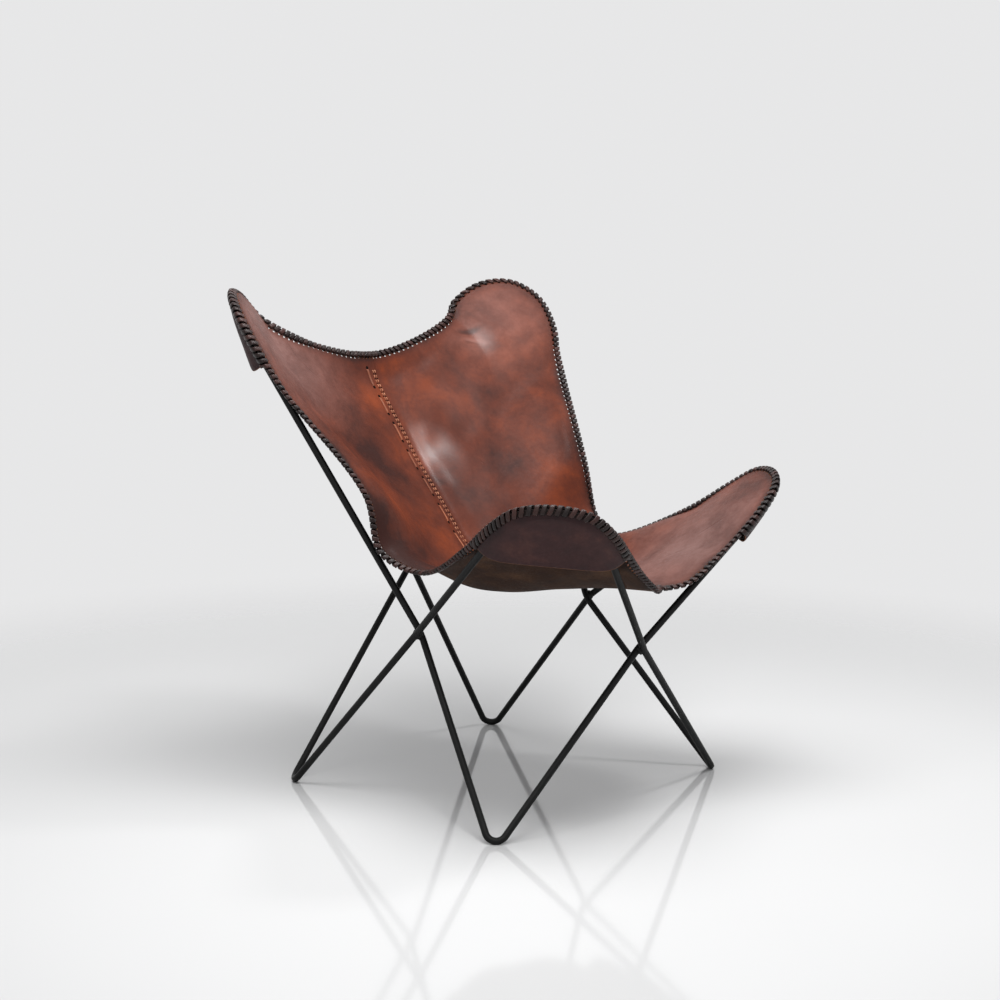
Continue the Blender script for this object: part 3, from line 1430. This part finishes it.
@dataclass(frozen=True)
class HideFinish(Finish):
    """Antiqued, polished hide, darker under the lace and along the seam."""

    size: float = 8.0
    contrast: float = 1.5
    aged: bool = False
    pebble: float = 620.0
    scratch: float = 0.5
    wear_size: float = 38.0
    wear_amount: float = 0.35
    warp_size: float = 11.0
    warp: float = 0.10
    rim_reach: tuple[float, float] = (0.010, 0.026)
    rim_shade: float = 0.30
    stain_reach: tuple[float, float] = (0.0075, 0.0125)
    stain_share: float = 0.93
    smoother: float = 0.07
    wear_rougher: float = 0.12
    fine_height: float = 0.5
    scratch_share: float = 0.22
    wear_share: float = 0.08
    ridges: tuple[float, float] = (4.0, 32.0)
    ridge_share: float = 0.55
    valleys: tuple[float, float] = (-30.0, -2.0)
    valley_share: float = 0.8
    bloom_clouds: tuple[float, ...] = (0.15, 0.75, 1.0, 0.42)
    bloom_rim: tuple[float, ...] = (0.012, 0.034, 0.45, 1.0)

    def dress(self, tree: ShaderTree, shader: bpy.types.Node, place: Socket, effects: Effects) -> None:
        """Dress the hide, as Finish.dress says: clouds, bloom, creases, grain, wear and stained rims."""
        clouds = effects.clouds.placed_in(tree, Vector=place, Size=self.size, Contrast=self.contrast)
        grain = effects.grain.placed_in(tree, Vector=place, Pebble=self.pebble, Scratch=self.scratch)
        wear = effects.wear.placed_in(tree, Vector=place, Size=self.wear_size, Amount=self.wear_amount)
        height = tree.math("ADD", grain["Height"], tree.math("MULTIPLY", clouds["Fine"], self.fine_height))
        if self.aged:
            colour = self.aged_colour(tree, place, clouds["Mask"])
            marks = self.marks(tree, place)
            colour = tree.blend(tree.step(marks, *self.ridges, 0.0, self.ridge_share), colour, ROSE_BLOOM)
            colour = tree.blend(tree.step(marks, *self.valleys, self.valley_share, 0.0), colour, self.dark)
            height = tree.math("ADD", height, marks)
            self.polish(tree, shader, place)
        else:
            colour = self.rimmed(tree, clouds["Mask"])
        for mask, share in ((grain["Marks"], self.scratch_share), (wear["Mask"], self.wear_share)):
            colour = tree.blend(tree.math("MULTIPLY", mask, share), colour, self.pale)
        stained = tree.step(tree.value_of("rim_gap"), *self.stain_reach, self.stain_share, 0.0)
        tree.feed(shader.inputs["Base Color"], tree.blend(stained, colour, RIM_STAIN))
        self.roughen(tree, shader, clouds["Fine"], wear["Mask"])
        self.raise_by(tree, shader, height)

    def rimmed(self, tree: ShaderTree, mask: Socket) -> Socket:
        """Return the colour of a mask that is darkened towards the rim."""
        rim = tree.step(tree.value_of("rim_gap"), *self.rim_reach, self.rim_shade, 0.0)
        return self.ramp(tree, tree.math("ADD", mask, rim, clamp=True))

    def aged_colour(self, tree: ShaderTree, place: Socket, clouds: Socket) -> Socket:
        """Lay the patina over the clouds, and the wax bloom over both.

        Args:
            tree: the tree to build in.
            place: the object's own coordinates.
            clouds: the mask of the clouds.

        Returns:
            The colour.
        """
        wobble = tree.made("ShaderNodeTexNoise", "Color", {"Vector": place, "Scale": self.warp_size})
        offset = tree.vector_math("MULTIPLY_ADD", wobble, (self.warp,) * 3, (-self.warp / 2,) * 3)
        warped = tree.vector_math("ADD", place, offset)
        mask = clouds
        for spot in Patina:
            mask = tree.math("ADD", mask, spot.near(tree, warped))
        colour = self.rimmed(tree, mask)
        thick = tree.math("MULTIPLY", tree.step(clouds, *self.bloom_clouds),
                          tree.step(tree.value_of("rim_gap"), *self.bloom_rim))
        for spot in Bloom:
            share = tree.math("MULTIPLY", spot.near(tree, warped), thick)
            colour = tree.blend(share, colour, spot.tint)
        return colour

    @staticmethod
    def marks(tree: ShaderTree, place: Socket) -> Socket:
        """Return the height of all the creases together."""
        total = 0.0
        for crease in Crease:
            total = tree.math("ADD", total, crease.height(tree, place))
        return total

    def polish(self, tree: ShaderTree, shader: bpy.types.Node, place: Socket) -> None:
        """Give the rubbed spots a stronger coat."""
        gloss = self.coat
        for spot in Polish:
            gloss = tree.math("ADD", gloss, spot.near(tree, place))
        tree.feed(shader.inputs["Coat Weight"], gloss)


@dataclass(frozen=True)
class PlainFinish(Finish):
    """A finish that varies by clouds and by each length's own tone."""

    size: float = 40.0
    pebble: float = 1100.0
    contrast: float = 1.6
    scratch: float = 0.3
    tone_share: float = 0.5
    stained: bool = False
    stain_reach: tuple[float, float] = (0.003, 0.008)

    def dress(self, tree: ShaderTree, shader: bpy.types.Node, place: Socket, effects: Effects) -> None:
        """Dress lace, thread or a cut edge, as Finish.dress says: clouds, tones and grain."""
        clouds = effects.clouds.placed_in(tree, Vector=place, Size=self.size, Contrast=self.contrast)
        grain = effects.grain.placed_in(tree, Vector=place, Pebble=self.pebble, Scratch=self.scratch)
        mask = clouds["Mask"]
        if self.tone_share > 0:
            mask = tree.weighted((tree.value_of("tone"), self.tone_share), (mask, 1 - self.tone_share))
        colour = self.ramp(tree, mask)
        if self.stained:
            stain = tree.step(tree.value_of("rim_gap"), *self.stain_reach, 1.0, 0.0)
            colour = tree.blend(stain, colour, RIM_STAIN)
        tree.feed(shader.inputs["Base Color"], colour)
        self.roughen(tree, shader, clouds["Fine"])
        self.raise_by(tree, shader, grain["Height"])


@dataclass(frozen=True)
class PaintFinish(Finish):
    """Satin paint on steel rod, with a little dust, orange peel and rubbed spots."""

    size: float = 55.0
    contrast: float = 1.4
    wear_size: float = 90.0
    wear_amount: float = 0.3
    smoother: float = 0.05
    rougher: float = 0.09
    peel: float = 420.0

    def dress(self, tree: ShaderTree, shader: bpy.types.Node, place: Socket, effects: Effects) -> None:
        """Dress the paint, as Finish.dress says: clouds, rubbed spots and orange peel."""
        clouds = effects.clouds.placed_in(tree, Vector=place, Size=self.size, Contrast=self.contrast)
        wear = effects.wear.placed_in(tree, Vector=place, Size=self.wear_size, Amount=self.wear_amount)
        colour = tree.blend(wear["Mask"], self.ramp(tree, clouds["Mask"]), self.pale)
        tree.feed(shader.inputs["Base Color"], colour)
        self.roughen(tree, shader, clouds["Fine"], wear["Mask"])
        self.raise_by(tree, shader, tree.noise(place, self.peel, detail=3.0, rough=0.6))


FINISHES = {
    "paint": PaintFinish(
        "satin_black_paint", pale=(0.016, 0.016, 0.016), mid=(0.0065, 0.0065, 0.0065),
        dark=(0.0035, 0.0035, 0.0035), roughness=0.46, specular=0.16, bump=0.25, bump_depth=0.0002),
    "hide": HideFinish(
        "antiqued_hide", pale=(0.212, 0.045, 0.0165), mid=(0.112, 0.0275, 0.0150),
        dark=(0.036, 0.0130, 0.0105), roughness=0.46, coat=0.04, coat_roughness=0.24, specular=0.07,
        contrast=1.55, bump=1.0, bump_depth=0.00007, aged=True),
    "back": HideFinish(
        "hide_flesh_side", pale=(0.088, 0.042, 0.020), mid=(0.042, 0.020, 0.012), dark=(0.018, 0.010, 0.008),
        roughness=0.68, specular=0.10, bump=0.45, bump_depth=0.0005, size=14.0, contrast=1.6, pebble=900.0,
        scratch=0.2),
    "pocket": HideFinish(
        "pocket_hide", pale=(0.100, 0.039, 0.031), mid=(0.050, 0.021, 0.021), dark=(0.023, 0.012, 0.013),
        roughness=0.50, specular=0.14, bump=0.3, bump_depth=0.0004, size=11.0, pebble=760.0, scratch=0.4),
    "cut": PlainFinish(
        "cut_edge", pale=(0.36, 0.155, 0.07), mid=(0.22, 0.085, 0.04), dark=(0.09, 0.036, 0.02),
        roughness=0.75, specular=0.15, bump=0.5, tone_share=0.0, stained=True),
    "lace": PlainFinish(
        "dark_lace", pale=(0.068, 0.0255, 0.0205), mid=(0.0205, 0.0085, 0.0072),
        dark=(0.0030, 0.0019, 0.0018), roughness=0.30, specular=0.27, bump=0.3, tone_share=0.62),
    "seam": PlainFinish(
        "tan_lace", pale=(0.40, 0.130, 0.060), mid=(0.26, 0.078, 0.036), dark=(0.13, 0.038, 0.019),
        roughness=0.45, specular=0.3, bump=0.3),
    "thread": PlainFinish(
        "waxed_thread", pale=(0.62, 0.30, 0.18), mid=(0.44, 0.185, 0.105), dark=(0.25, 0.095, 0.053),
        roughness=0.6, specular=0.25, bump=0.2, pebble=2400.0),
    "hole": PlainFinish(
        "hole_shadow", pale=(0.010, 0.006, 0.005), mid=(0.005, 0.003, 0.0025), dark=(0.002, 0.0015, 0.0015),
        roughness=0.9, specular=0.05, tone_share=0.0),
}


# ---------------- the chair's sub-assemblies

@dataclass
class Dresser:
    """What every sub-assembly needs: the sweep tree and the finished materials."""

    tree: SweepTree
    materials: dict[str, Material]

    @classmethod
    def ready(cls) -> "Dresser":
        """Build the tree, the shared effects and every finish."""
        effects = Effects()
        return cls(SweepTree(), {key: finish.make(effects) for key, finish in FINISHES.items()})

    @staticmethod
    def report(piece: bpy.types.Object, slot: str, *nodes: str) -> bpy.types.Object:
        """Tie a piece to its body, and log it.

        Args:
            piece: the piece.
            slot: the record's material slot.
            nodes: the CAD nodes that it stands for.

        Returns:
            The piece.
        """
        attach(piece, "root")
        if nodes:
            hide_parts(*nodes)
        LOG.info("%s: %d faces", piece.name, len(piece.data.polygons))
        return piece


@dataclass
class RodFrame:
    """The frame: eight lengths of bent rod and the welds where they cross."""

    lines: FrameLines
    sides: int = 32
    weld_reach: float = 9.6
    weld_rise: float = 7.4
    weld_rows: int = 14
    weld_sides: int = 28
    weld_lumps: Sequence[Place] = ((5.0, 2.1, 0.07), (9.0, -1.3, 0.05))
    weld_guide: Place = (0.31, 0.52, 0.8)

    def build(self, dresser: Dresser) -> None:
        """Make every rod and weld.

        Args:
            dresser: the tools and finishes.
        """
        paint = dresser.materials["paint"]
        for name, (line, facing) in self.lines.rods.items():
            runs = Runs()
            runs.add(line, facing)
            diameter = self.lines.rod_radius * 2
            rod = dresser.tree.sweep(name.replace("_rod", "_bar"), runs, diameter, diameter, Profile.ROUND,
                                     self.sides, paint)
            for vertex in rod.data.vertices:
                vertex.co.z = max(vertex.co.z, 0.0)
            dresser.report(rod, "frame_paint", name)
        for name, (one, other) in self.lines.welds.items():
            bead = self.nugget(name.replace("_weld", "_bead"), one, other, paint)
            dresser.report(bead, "frame_paint", name)

    def nugget(self, name: str, one: Array, other: Array, paint: Material) -> bpy.types.Object:
        """Make the lumpy bead of a weld between two rods.

        Args:
            name: the object's name.
            one: where the first rod passes.
            other: where the second rod passes.
            paint: the finish.

        Returns:
            The object.
        """
        rows, sides = self.weld_rows, self.weld_sides
        through = unit(other - one)
        across = unit(np.cross(through, vec(*self.weld_guide)))
        upward = np.cross(through, across)
        centre = (one + other) / 2
        points, faces = [centre - through * self.weld_rise], []
        for row in range(1, rows):
            tilt = math.pi * row / rows
            for side in range(sides):
                angle = 2 * math.pi * side / sides
                lump = sum((height * math.sin(waves * angle + shift * row)
                            for waves, shift, height in self.weld_lumps), 1)
                flat = across * math.cos(angle) + upward * math.sin(angle)
                points.append(centre + flat * self.weld_reach * math.sin(tilt) * lump
                              - through * self.weld_rise * math.cos(tilt))
        points.append(centre + through * self.weld_rise)
        for side in range(sides):
            after = (side + 1) % sides
            faces.append((0, 1 + after, 1 + side))
            for base in range(1, 1 + (rows - 2) * sides, sides):
                faces.append((base + side, base + after, base + sides + after, base + sides + side))
            base = 1 + (rows - 2) * sides
            faces.append((base + side, base + after, len(points) - 1))
        array = np.array(points)
        first = array[list(faces[0])] - centre
        if np.dot(np.cross(first[1] - first[0], first[2] - first[0]), first[0]) < 0:
            faces = [face[::-1] for face in faces]
        mesh = bpy.data.meshes.new(name)
        mesh.from_pydata(to_metres(array).tolist(), [], faces)
        mesh.materials.append(paint)
        mesh.shade_smooth()
        return make_object(name, mesh)


@dataclass
class EdgeLacing:
    """Whip-stitched lace round one panel's rim, a wrap through each hole."""

    panel: PanelShape
    width: float = 8.0
    thickness: float = 2.4
    depth: float = 8.3
    steps: int = 2
    sides: int = 10
    seed: int = 11
    clearance: float = 0.25
    sink: float = -1.3
    hole_lip: float = 1.2
    halfway: float = 0.6
    near_edge: float = 1.6
    press: float = 0.9
    top_bow: float = 0.3
    low_bow: float = 0.2
    shares: Sequence[float] = (0.0, 0.04, 0.17, 0.36, 0.5, 0.64, 0.83, 0.96, 1.0)
    edge_bulge: float = 1.4
    seam_holes: int = 12

    def path(self, band: EdgeBand, start: float) -> tuple[Array, Array]:
        """Lay one wrap.

        Args:
            band: the faces that it lies against.
            start: the station of its upper hole.

        Returns:
            Its points and the way that its flat side faces at each.
        """
        pitch, ring, high = self.panel.fine, self.panel.sling.sizes.ring, self.thickness / 2 + self.clearance
        inwards = (self.depth, self.depth - self.hole_lip, self.depth * self.halfway, self.near_edge)
        rises = (self.sink, high * self.press, high + self.top_bow, high, high, high, high + self.low_bow,
                 high * self.press, self.sink)
        plan = list(zip(self.shares, (*inwards, 0.0, *inwards[::-1]), rises))
        edge = len(plan) // 2
        stations = np.arange(len(band.top), dtype=float)

        def read(values: Array, place: float) -> Array:
            """Read a row of points between stations."""
            return np.array([np.interp(place, stations, values[:, axis]) for axis in range(3)])
        points, facings = [], []
        for index, (share, inward, rise) in enumerate(plan):
            place = start + pitch * share
            top, low = read(band.top, place), read(band.low, place)
            n_top, n_low = unit(read(band.top_normal, place)), unit(read(band.low_normal, place))
            if index == edge:
                out = -unit(unit(read(band.top_in, place) - top) + unit(read(band.low_in, place) - low))
                points.append((top + low) / 2 + out * (rise + self.edge_bulge))
                facings.append(out)
                continue
            face, inner, normal = (top, read(band.top_in, place), n_top) if index < edge else (
                low, read(band.low_in, place), n_low)
            points.append(face + (inner - face) * inward / ring + normal * rise)
            facings.append(normal)
        places = np.linspace(0, len(plan) - 1, (len(plan) - 1) * self.steps + 1)
        facing = np.stack([np.interp(places, np.arange(len(plan)), np.array(facings)[:, axis])
                           for axis in range(3)], axis=-1)
        return through_points(np.array(points), places, False), unit(facing)

    def build(self, dresser: Dresser) -> list[bpy.types.Object]:
        """Make the front and the back run of the panel's lace.

        Args:
            dresser: the tools and finishes.

        Returns:
            The two pieces.
        """
        panel, rng = self.panel, np.random.default_rng(self.seed + (0 if self.panel.on_top else 1))
        band = panel.band()
        runs = {"front": Runs(), "back": Runs()}
        holes = range((len(band.top) - 1) // panel.fine)
        middle = len(holes) // 2
        for hole in holes:
            start = hole * panel.fine + float(np.mean(panel.hole_steps)) + 0.5
            if start + panel.fine > len(band.top) - 1:
                continue
            near_end = hole < self.seam_holes or hole > len(holes) - self.seam_holes
            under_lap = panel.seam_at[int(start)] < panel.sling.sizes.lap_half + panel.shift
            if not panel.on_top and near_end and under_lap:
                continue
            line, facing = self.path(band, start)
            runs["front" if hole < middle else "back"].add(line, facing, float(rng.uniform(0, 1)))
        made = []
        for end, lines in runs.items():
            lace = dresser.tree.sweep(f"{end}_{panel.name}_lace_wraps", lines, self.width, self.thickness,
                                      Profile.LACE, self.sides, dresser.materials["lace"])
            made.append(dresser.report(lace, "edge_lace", f"{end}_{panel.name}_edge_lace"))
        return made


@dataclass
class SeamWork:
    """What holds the two panels together: long lace stitches, two rows of thread, and their holes."""

    panel: PanelShape
    lace_from_seam: float = 22.0
    lace_width: float = 5.4
    lace_thickness: float = 1.7
    lace_rise: float = 0.55
    stitch: float = 35.0
    stitch_gap: float = 25.0
    hole_width: float = 6.4
    prick_width: float = 3.3
    hole_rise: float = 0.3
    hole_depth: float = 0.9
    hole_beyond: float = 2.4
    thread: float = 2.0
    thread_rise: float = 0.6
    thread_rows: Sequence[float] = (8.2, 2.6)
    thread_pitch: float = 9.6
    thread_margin: float = 1.8
    first_stitch: float = 16.0
    first_thread: float = 15.0
    last_margin: float = 12.0
    dip: float = -1.4
    hole_sides: int = 12
    lace_sides: int = 10
    lace_points: int = 13
    thread_sides: int = 8
    thread_points: int = 5
    plug_side: Place = (0.2, 0.9, 0.4)
    rules_read: int = 41
    seam_samples: int = 1201
    step_along: float = 0.004
    step_across: float = 2.0
    seed: int = 5

    def __post_init__(self) -> None:
        """Measure the rules and the seam's own length."""
        self.rng = np.random.default_rng(self.seed)
        self.grid_v = np.linspace(0, 1, self.rules_read)
        self.grid_length = self.panel.sling.half_length(self.grid_v)
        self.fine = np.linspace(0, 1, self.seam_samples)
        track, _ = self.surface(0.0, self.fine, 0.0)
        steps = np.linalg.norm(np.diff(track, axis=0), axis=1)
        self.reach = np.concatenate([[0.0], np.cumsum(steps)])

    def lay(self, from_seam: float, v: Array) -> Array:
        """Return points of the bare surface, on the panel's own side of the seam."""
        sling = self.panel.sling
        lengths = np.interp(v, self.grid_v, self.grid_length)
        base = sling.held(sling.patch.at(np.abs(from_seam) / lengths, v), sling.rod_top, 0.0)
        return self.panel.placed(base, np.full(len(v), from_seam))

    def surface(self, from_seam: float, v: Array, height: float) -> tuple[Array, Array]:
        """Find points over the upper panel's lap.

        Args:
            from_seam: their distance from the middle plane.
            v: their shares from the front to the back.
            height: their height over the leather.

        Returns:
            The points and their normals.
        """
        along = self.lay(from_seam, v + self.step_along) - self.lay(from_seam, v - self.step_along)
        across = self.lay(from_seam + self.step_across, v) - self.lay(from_seam - self.step_across, v)
        normal = unit(np.cross(across, along) * (1 if self.panel.sign > 0 else -1))
        lift = float(self.panel.raise_at(np.array(from_seam))) + self.panel.sling.sizes.leather / 2 + height
        return self.lay(from_seam, v) + normal * lift, normal

    def spot(self, row: float, distance: float, height: float) -> tuple[Array, Array]:
        """Return the point and the normal of a row at a distance along the seam, each as one row."""
        return self.surface(row, np.array([np.interp(distance, self.reach, self.fine)]), height)

    def sew(self, runs: Runs, row: float, start: float, length: float, rise: float, count: int) -> None:
        """Lay one stitch along the seam from hole to hole.

        Args:
            runs: the lines that it joins.
            row: the row's distance from the middle plane.
            start: where it starts along the seam.
            length: its length.
            rise: the height of its middle line over the leather.
            count: how many points it has.
        """
        shares = np.linspace(0, 1, count)
        heights = np.where((shares == 0) | (shares == 1), rise * self.dip, rise)
        spots = [self.spot(row, start + length * share, float(height))
                 for share, height in zip(shares, heights)]
        line = np.vstack([spot[0] for spot in spots])
        runs.add(line, np.vstack([spot[1] for spot in spots]), float(self.rng.uniform(0, 1)))

    def pierce(self, plugs: Runs, row: float, start: float) -> None:
        """Lay one short dark plug, seen as a hole."""
        centre, normal = [rows[0] for rows in self.spot(row, start, 0.0)]
        side = unit(np.cross(normal, vec(*self.plug_side)))
        plugs.add(np.vstack([centre - normal * self.hole_depth, centre + normal * self.hole_rise]), side)

    def build(self, dresser: Dresser) -> list[bpy.types.Object]:
        """Make the lace stitches, the holes and the thread.

        Args:
            dresser: the tools and finishes.

        Returns:
            The pieces.
        """
        lace, threads, holes, pricks = Runs(), Runs(), Runs(), Runs()
        last = self.reach[-1] - self.last_margin
        start = self.first_stitch
        while start + self.stitch < last:
            self.sew(lace, self.lace_from_seam, start, self.stitch, self.lace_rise, self.lace_points)
            self.pierce(holes, self.lace_from_seam, start - self.hole_beyond)
            self.pierce(holes, self.lace_from_seam, start + self.stitch + self.hole_beyond)
            start += self.stitch + self.stitch_gap
        for row in self.thread_rows:
            start = self.first_thread
            while start + self.thread_pitch < last:
                self.sew(threads, row, start + self.thread_margin, self.thread_pitch - 2 * self.thread_margin,
                         self.thread_rise, self.thread_points)
                self.pierce(pricks, row, start)
                start += self.thread_pitch
        tree, finish = dresser.tree, dresser.materials
        stitches = tree.sweep("seam_lace_stitches", lace, self.lace_width, self.lace_thickness,
                              Profile.LACE, self.lace_sides, finish["seam"])
        dots = [tree.sweep(name, plugs, width, width, Profile.ROUND, self.hole_sides, finish["hole"])
                for name, plugs, width in (("seam_lace_holes", holes, self.hole_width),
                                           ("seam_thread_holes", pricks, self.prick_width))]
        thread = tree.sweep("seam_thread", threads, self.thread, self.thread, Profile.ROUND,
                            self.thread_sides, finish["thread"])
        dresser.report(stitches, "seam_lace", "seam_lace")
        for dot in dots:
            dresser.report(dot, "sling_leather")
        dresser.report(thread, "seam_lace")
        return [stitches, *dots, thread]


@dataclass
class Sling:
    """The leather sling: two panels, four pockets, the lace round the edge and the seam."""

    shape: SlingShape
    panel_flat: tuple[float, float] = (0.47, 1.05)
    panel_area: float = 0.356
    front_pocket_flat: tuple[float, float] = (0.25, 0.19)
    back_pocket_flat: tuple[float, float] = (0.21, 0.16)
    front_pocket_area: float = 0.0256
    back_pocket_area: float = 0.02

    def build(self, dresser: Dresser) -> None:
        """Make and declare every piece of the sling.

        Args:
            dresser: the tools and finishes.
        """
        leather = [dresser.materials[key] for key in ("hide", "back", "cut")]
        pocket_leather = [dresser.materials[key] for key in ("pocket", "back", "cut")]
        laces, panels = {}, {}
        for name in ("left", "right"):
            shape = PanelShape(self.shape, name)
            panel = sheet_object(f"{name}_hide", shape.sheet, self.shape.sizes.leather, leather)
            panels[name] = dresser.report(panel, "sling_leather", f"sling_{name}_panel")
            laces[name] = EdgeLacing(shape).build(dresser)
            if shape.on_top:
                laces[name] += SeamWork(shape).build(dresser)
        for end, flat, area in (("front", self.front_pocket_flat, self.front_pocket_area),
                                ("back", self.back_pocket_flat, self.back_pocket_area)):
            for name in ("left", "right"):
                shape = PocketShape(self.shape, f"{end}_{name}")
                pocket = sheet_object(f"{end}_{name}_pouch", shape.sheet, self.shape.sizes.pocket,
                                      pocket_leather)
                dresser.report(pocket, "pocket_leather", f"{end}_{name}_pocket")


# ---------------- the studio

@dataclass(frozen=True)
class Softbox:
    """One soft square light that looks at a target."""

    place: Place
    target: Place
    size: float
    power: float

    def hang(self, name: str) -> None:
        """Hang the light in its place, turned to its target."""
        data = bpy.data.lights.new(name, "AREA")
        data.shape, data.size, data.energy = "SQUARE", self.size, self.power
        back = unit(vec(*self.place) - vec(*self.target))
        right = unit(np.cross(vec(0, 0, 1), back))
        make_object(name, data).matrix_world = placement(self.place, right, np.cross(back, right), back)


def placement(place: Place, right: Array, upward: Array, back: Array) -> Matrix:
    """Return the placement of a thing at a place, with its three own directions."""
    turn = Matrix(np.column_stack([right, upward, back]).tolist()).to_4x4()
    return Matrix.Translation(place) @ turn


@dataclass
class Studio:
    """Pale floor, soft lights and the camera of the photograph."""

    camera_at: Place = (-2.6936, -2.3011, 1.0320)
    yaw: float = 49.06
    pitch: float = -8.33
    roll: float = 0.23
    lens: float = 72.48
    sensor: float = 36.0
    view_range: tuple[float, float] = (0.05, 100.0)
    floor_reach: float = 5.0
    floor_sides: int = 64
    floor_tone: float = 0.84
    floor_roughness: float = 0.07
    fade_from: float = 1.0
    fade_to: float = 2.15
    sky: Colour = (0.80, 0.80, 0.805)
    ambient: Colour = (0.95, 0.97, 1.0)
    ambient_strength: float = 0.18
    lights: Sequence[Softbox] = (
        Softbox((0.93, -0.79, 2.33), (0.07, 0.25, 0.6), 0.32, 10.0),
        Softbox((-0.15, -0.75, 2.7), (0.3, 0.2, 0.7), 1.2, 26.0),
        Softbox((-1.9, -1.6, 1.9), (0.0, 0.0, 0.5), 1.8, 14.0),
        Softbox((0.4, 1.8, 2.2), (0.0, 0.1, 0.5), 1.6, 7.0),
        Softbox((-0.45, -0.2, 2.3), (0.0, 0.0, 0.4), 1.3, 30.0),
    )

    def build(self) -> None:
        """Make the camera, the floor, the world and the lights."""
        self.camera()
        self.floor()
        self.world()
        for index, light in enumerate(self.lights):
            light.hang(f"softbox_{index}")

    def camera(self) -> None:
        """Set the camera at the photograph's place."""
        yaw, pitch, roll = map(math.radians, (self.yaw, self.pitch, self.roll))
        ahead = vec(math.sin(yaw) * math.cos(pitch), math.cos(yaw) * math.cos(pitch), math.sin(pitch))
        right = vec(math.cos(yaw), -math.sin(yaw), 0)
        upward = np.cross(right, ahead)
        right, upward = (right * math.cos(roll) + upward * math.sin(roll),
                         upward * math.cos(roll) - right * math.sin(roll))
        data = bpy.data.cameras.new("camera")
        data.lens, data.sensor_width = self.lens, self.sensor
        data.clip_start, data.clip_end = self.view_range
        made = make_object("camera", data)
        made.matrix_world = placement(self.camera_at, right, upward, -ahead)
        bpy.context.scene.camera = made

    def floor(self) -> None:
        """Lay a pale glossy floor that fades into the background."""
        angles = [2 * math.pi * side / self.floor_sides for side in range(self.floor_sides)]
        mesh = bpy.data.meshes.new("studio_floor")
        mesh.from_pydata([(self.floor_reach * math.cos(angle), self.floor_reach * math.sin(angle), 0.0)
                          for angle in angles], [], [tuple(range(self.floor_sides))])
        material = bpy.data.materials.new("pale_floor")
        material.use_nodes = True
        tree, nodes = ShaderTree(material.node_tree), material.node_tree.nodes
        shader = nodes["Principled BSDF"]
        tree.feed(shader.inputs["Base Color"], (self.floor_tone,) * 3)
        tree.feed(shader.inputs["Roughness"], self.floor_roughness)
        place = tree.node("ShaderNodeTexCoord").outputs["Object"]
        fade = tree.step(tree.vector_math("LENGTH", place, output="Value"), self.fade_from, self.fade_to)
        clear = tree.made("ShaderNodeBsdfTransparent", "BSDF", {})
        mixed = tree.made("ShaderNodeMixShader", "Shader", {0: fade, 1: shader.outputs["BSDF"], 2: clear})
        tree.feed(nodes["Material Output"].inputs["Surface"], mixed)
        mesh.materials.append(material)
        make_object("studio_floor", mesh)

    def world(self) -> None:
        """Show a pale background and light the object softly all round."""
        world = bpy.data.worlds.new("studio")
        bpy.context.scene.world = world
        world.use_nodes = True
        tree, nodes = ShaderTree(world.node_tree), world.node_tree.nodes
        plain = nodes["Background"]
        tree.feed(plain.inputs["Color"], self.ambient)
        tree.feed(plain.inputs["Strength"], self.ambient_strength)
        shown = tree.made("ShaderNodeBackground", "Background", {"Color": self.sky})
        path = tree.node("ShaderNodeLightPath").outputs
        seen = tree.math("MAXIMUM", path["Is Camera Ray"], path["Is Glossy Ray"])
        seen = tree.math("MAXIMUM", seen, path["Is Transmission Ray"])
        mixed = tree.made("ShaderNodeMixShader", "Shader", {0: seen, 1: plain.outputs[0], 2: shown})
        tree.feed(nodes["World Output"].inputs["Surface"], mixed)


def main() -> None:
    """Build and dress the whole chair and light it."""
    logging.basicConfig(level=logging.INFO, format="%(name)s: %(message)s")
    bpy.context.scene.view_settings.view_transform = "Standard"
    Studio().build()
    dresser = Dresser.ready()
    lines = FrameLines()
    RodFrame(lines).build(dresser)
    Sling(SlingShape(lines, SlingSizes())).build(dresser)


if __name__ == "__main__":
    main()
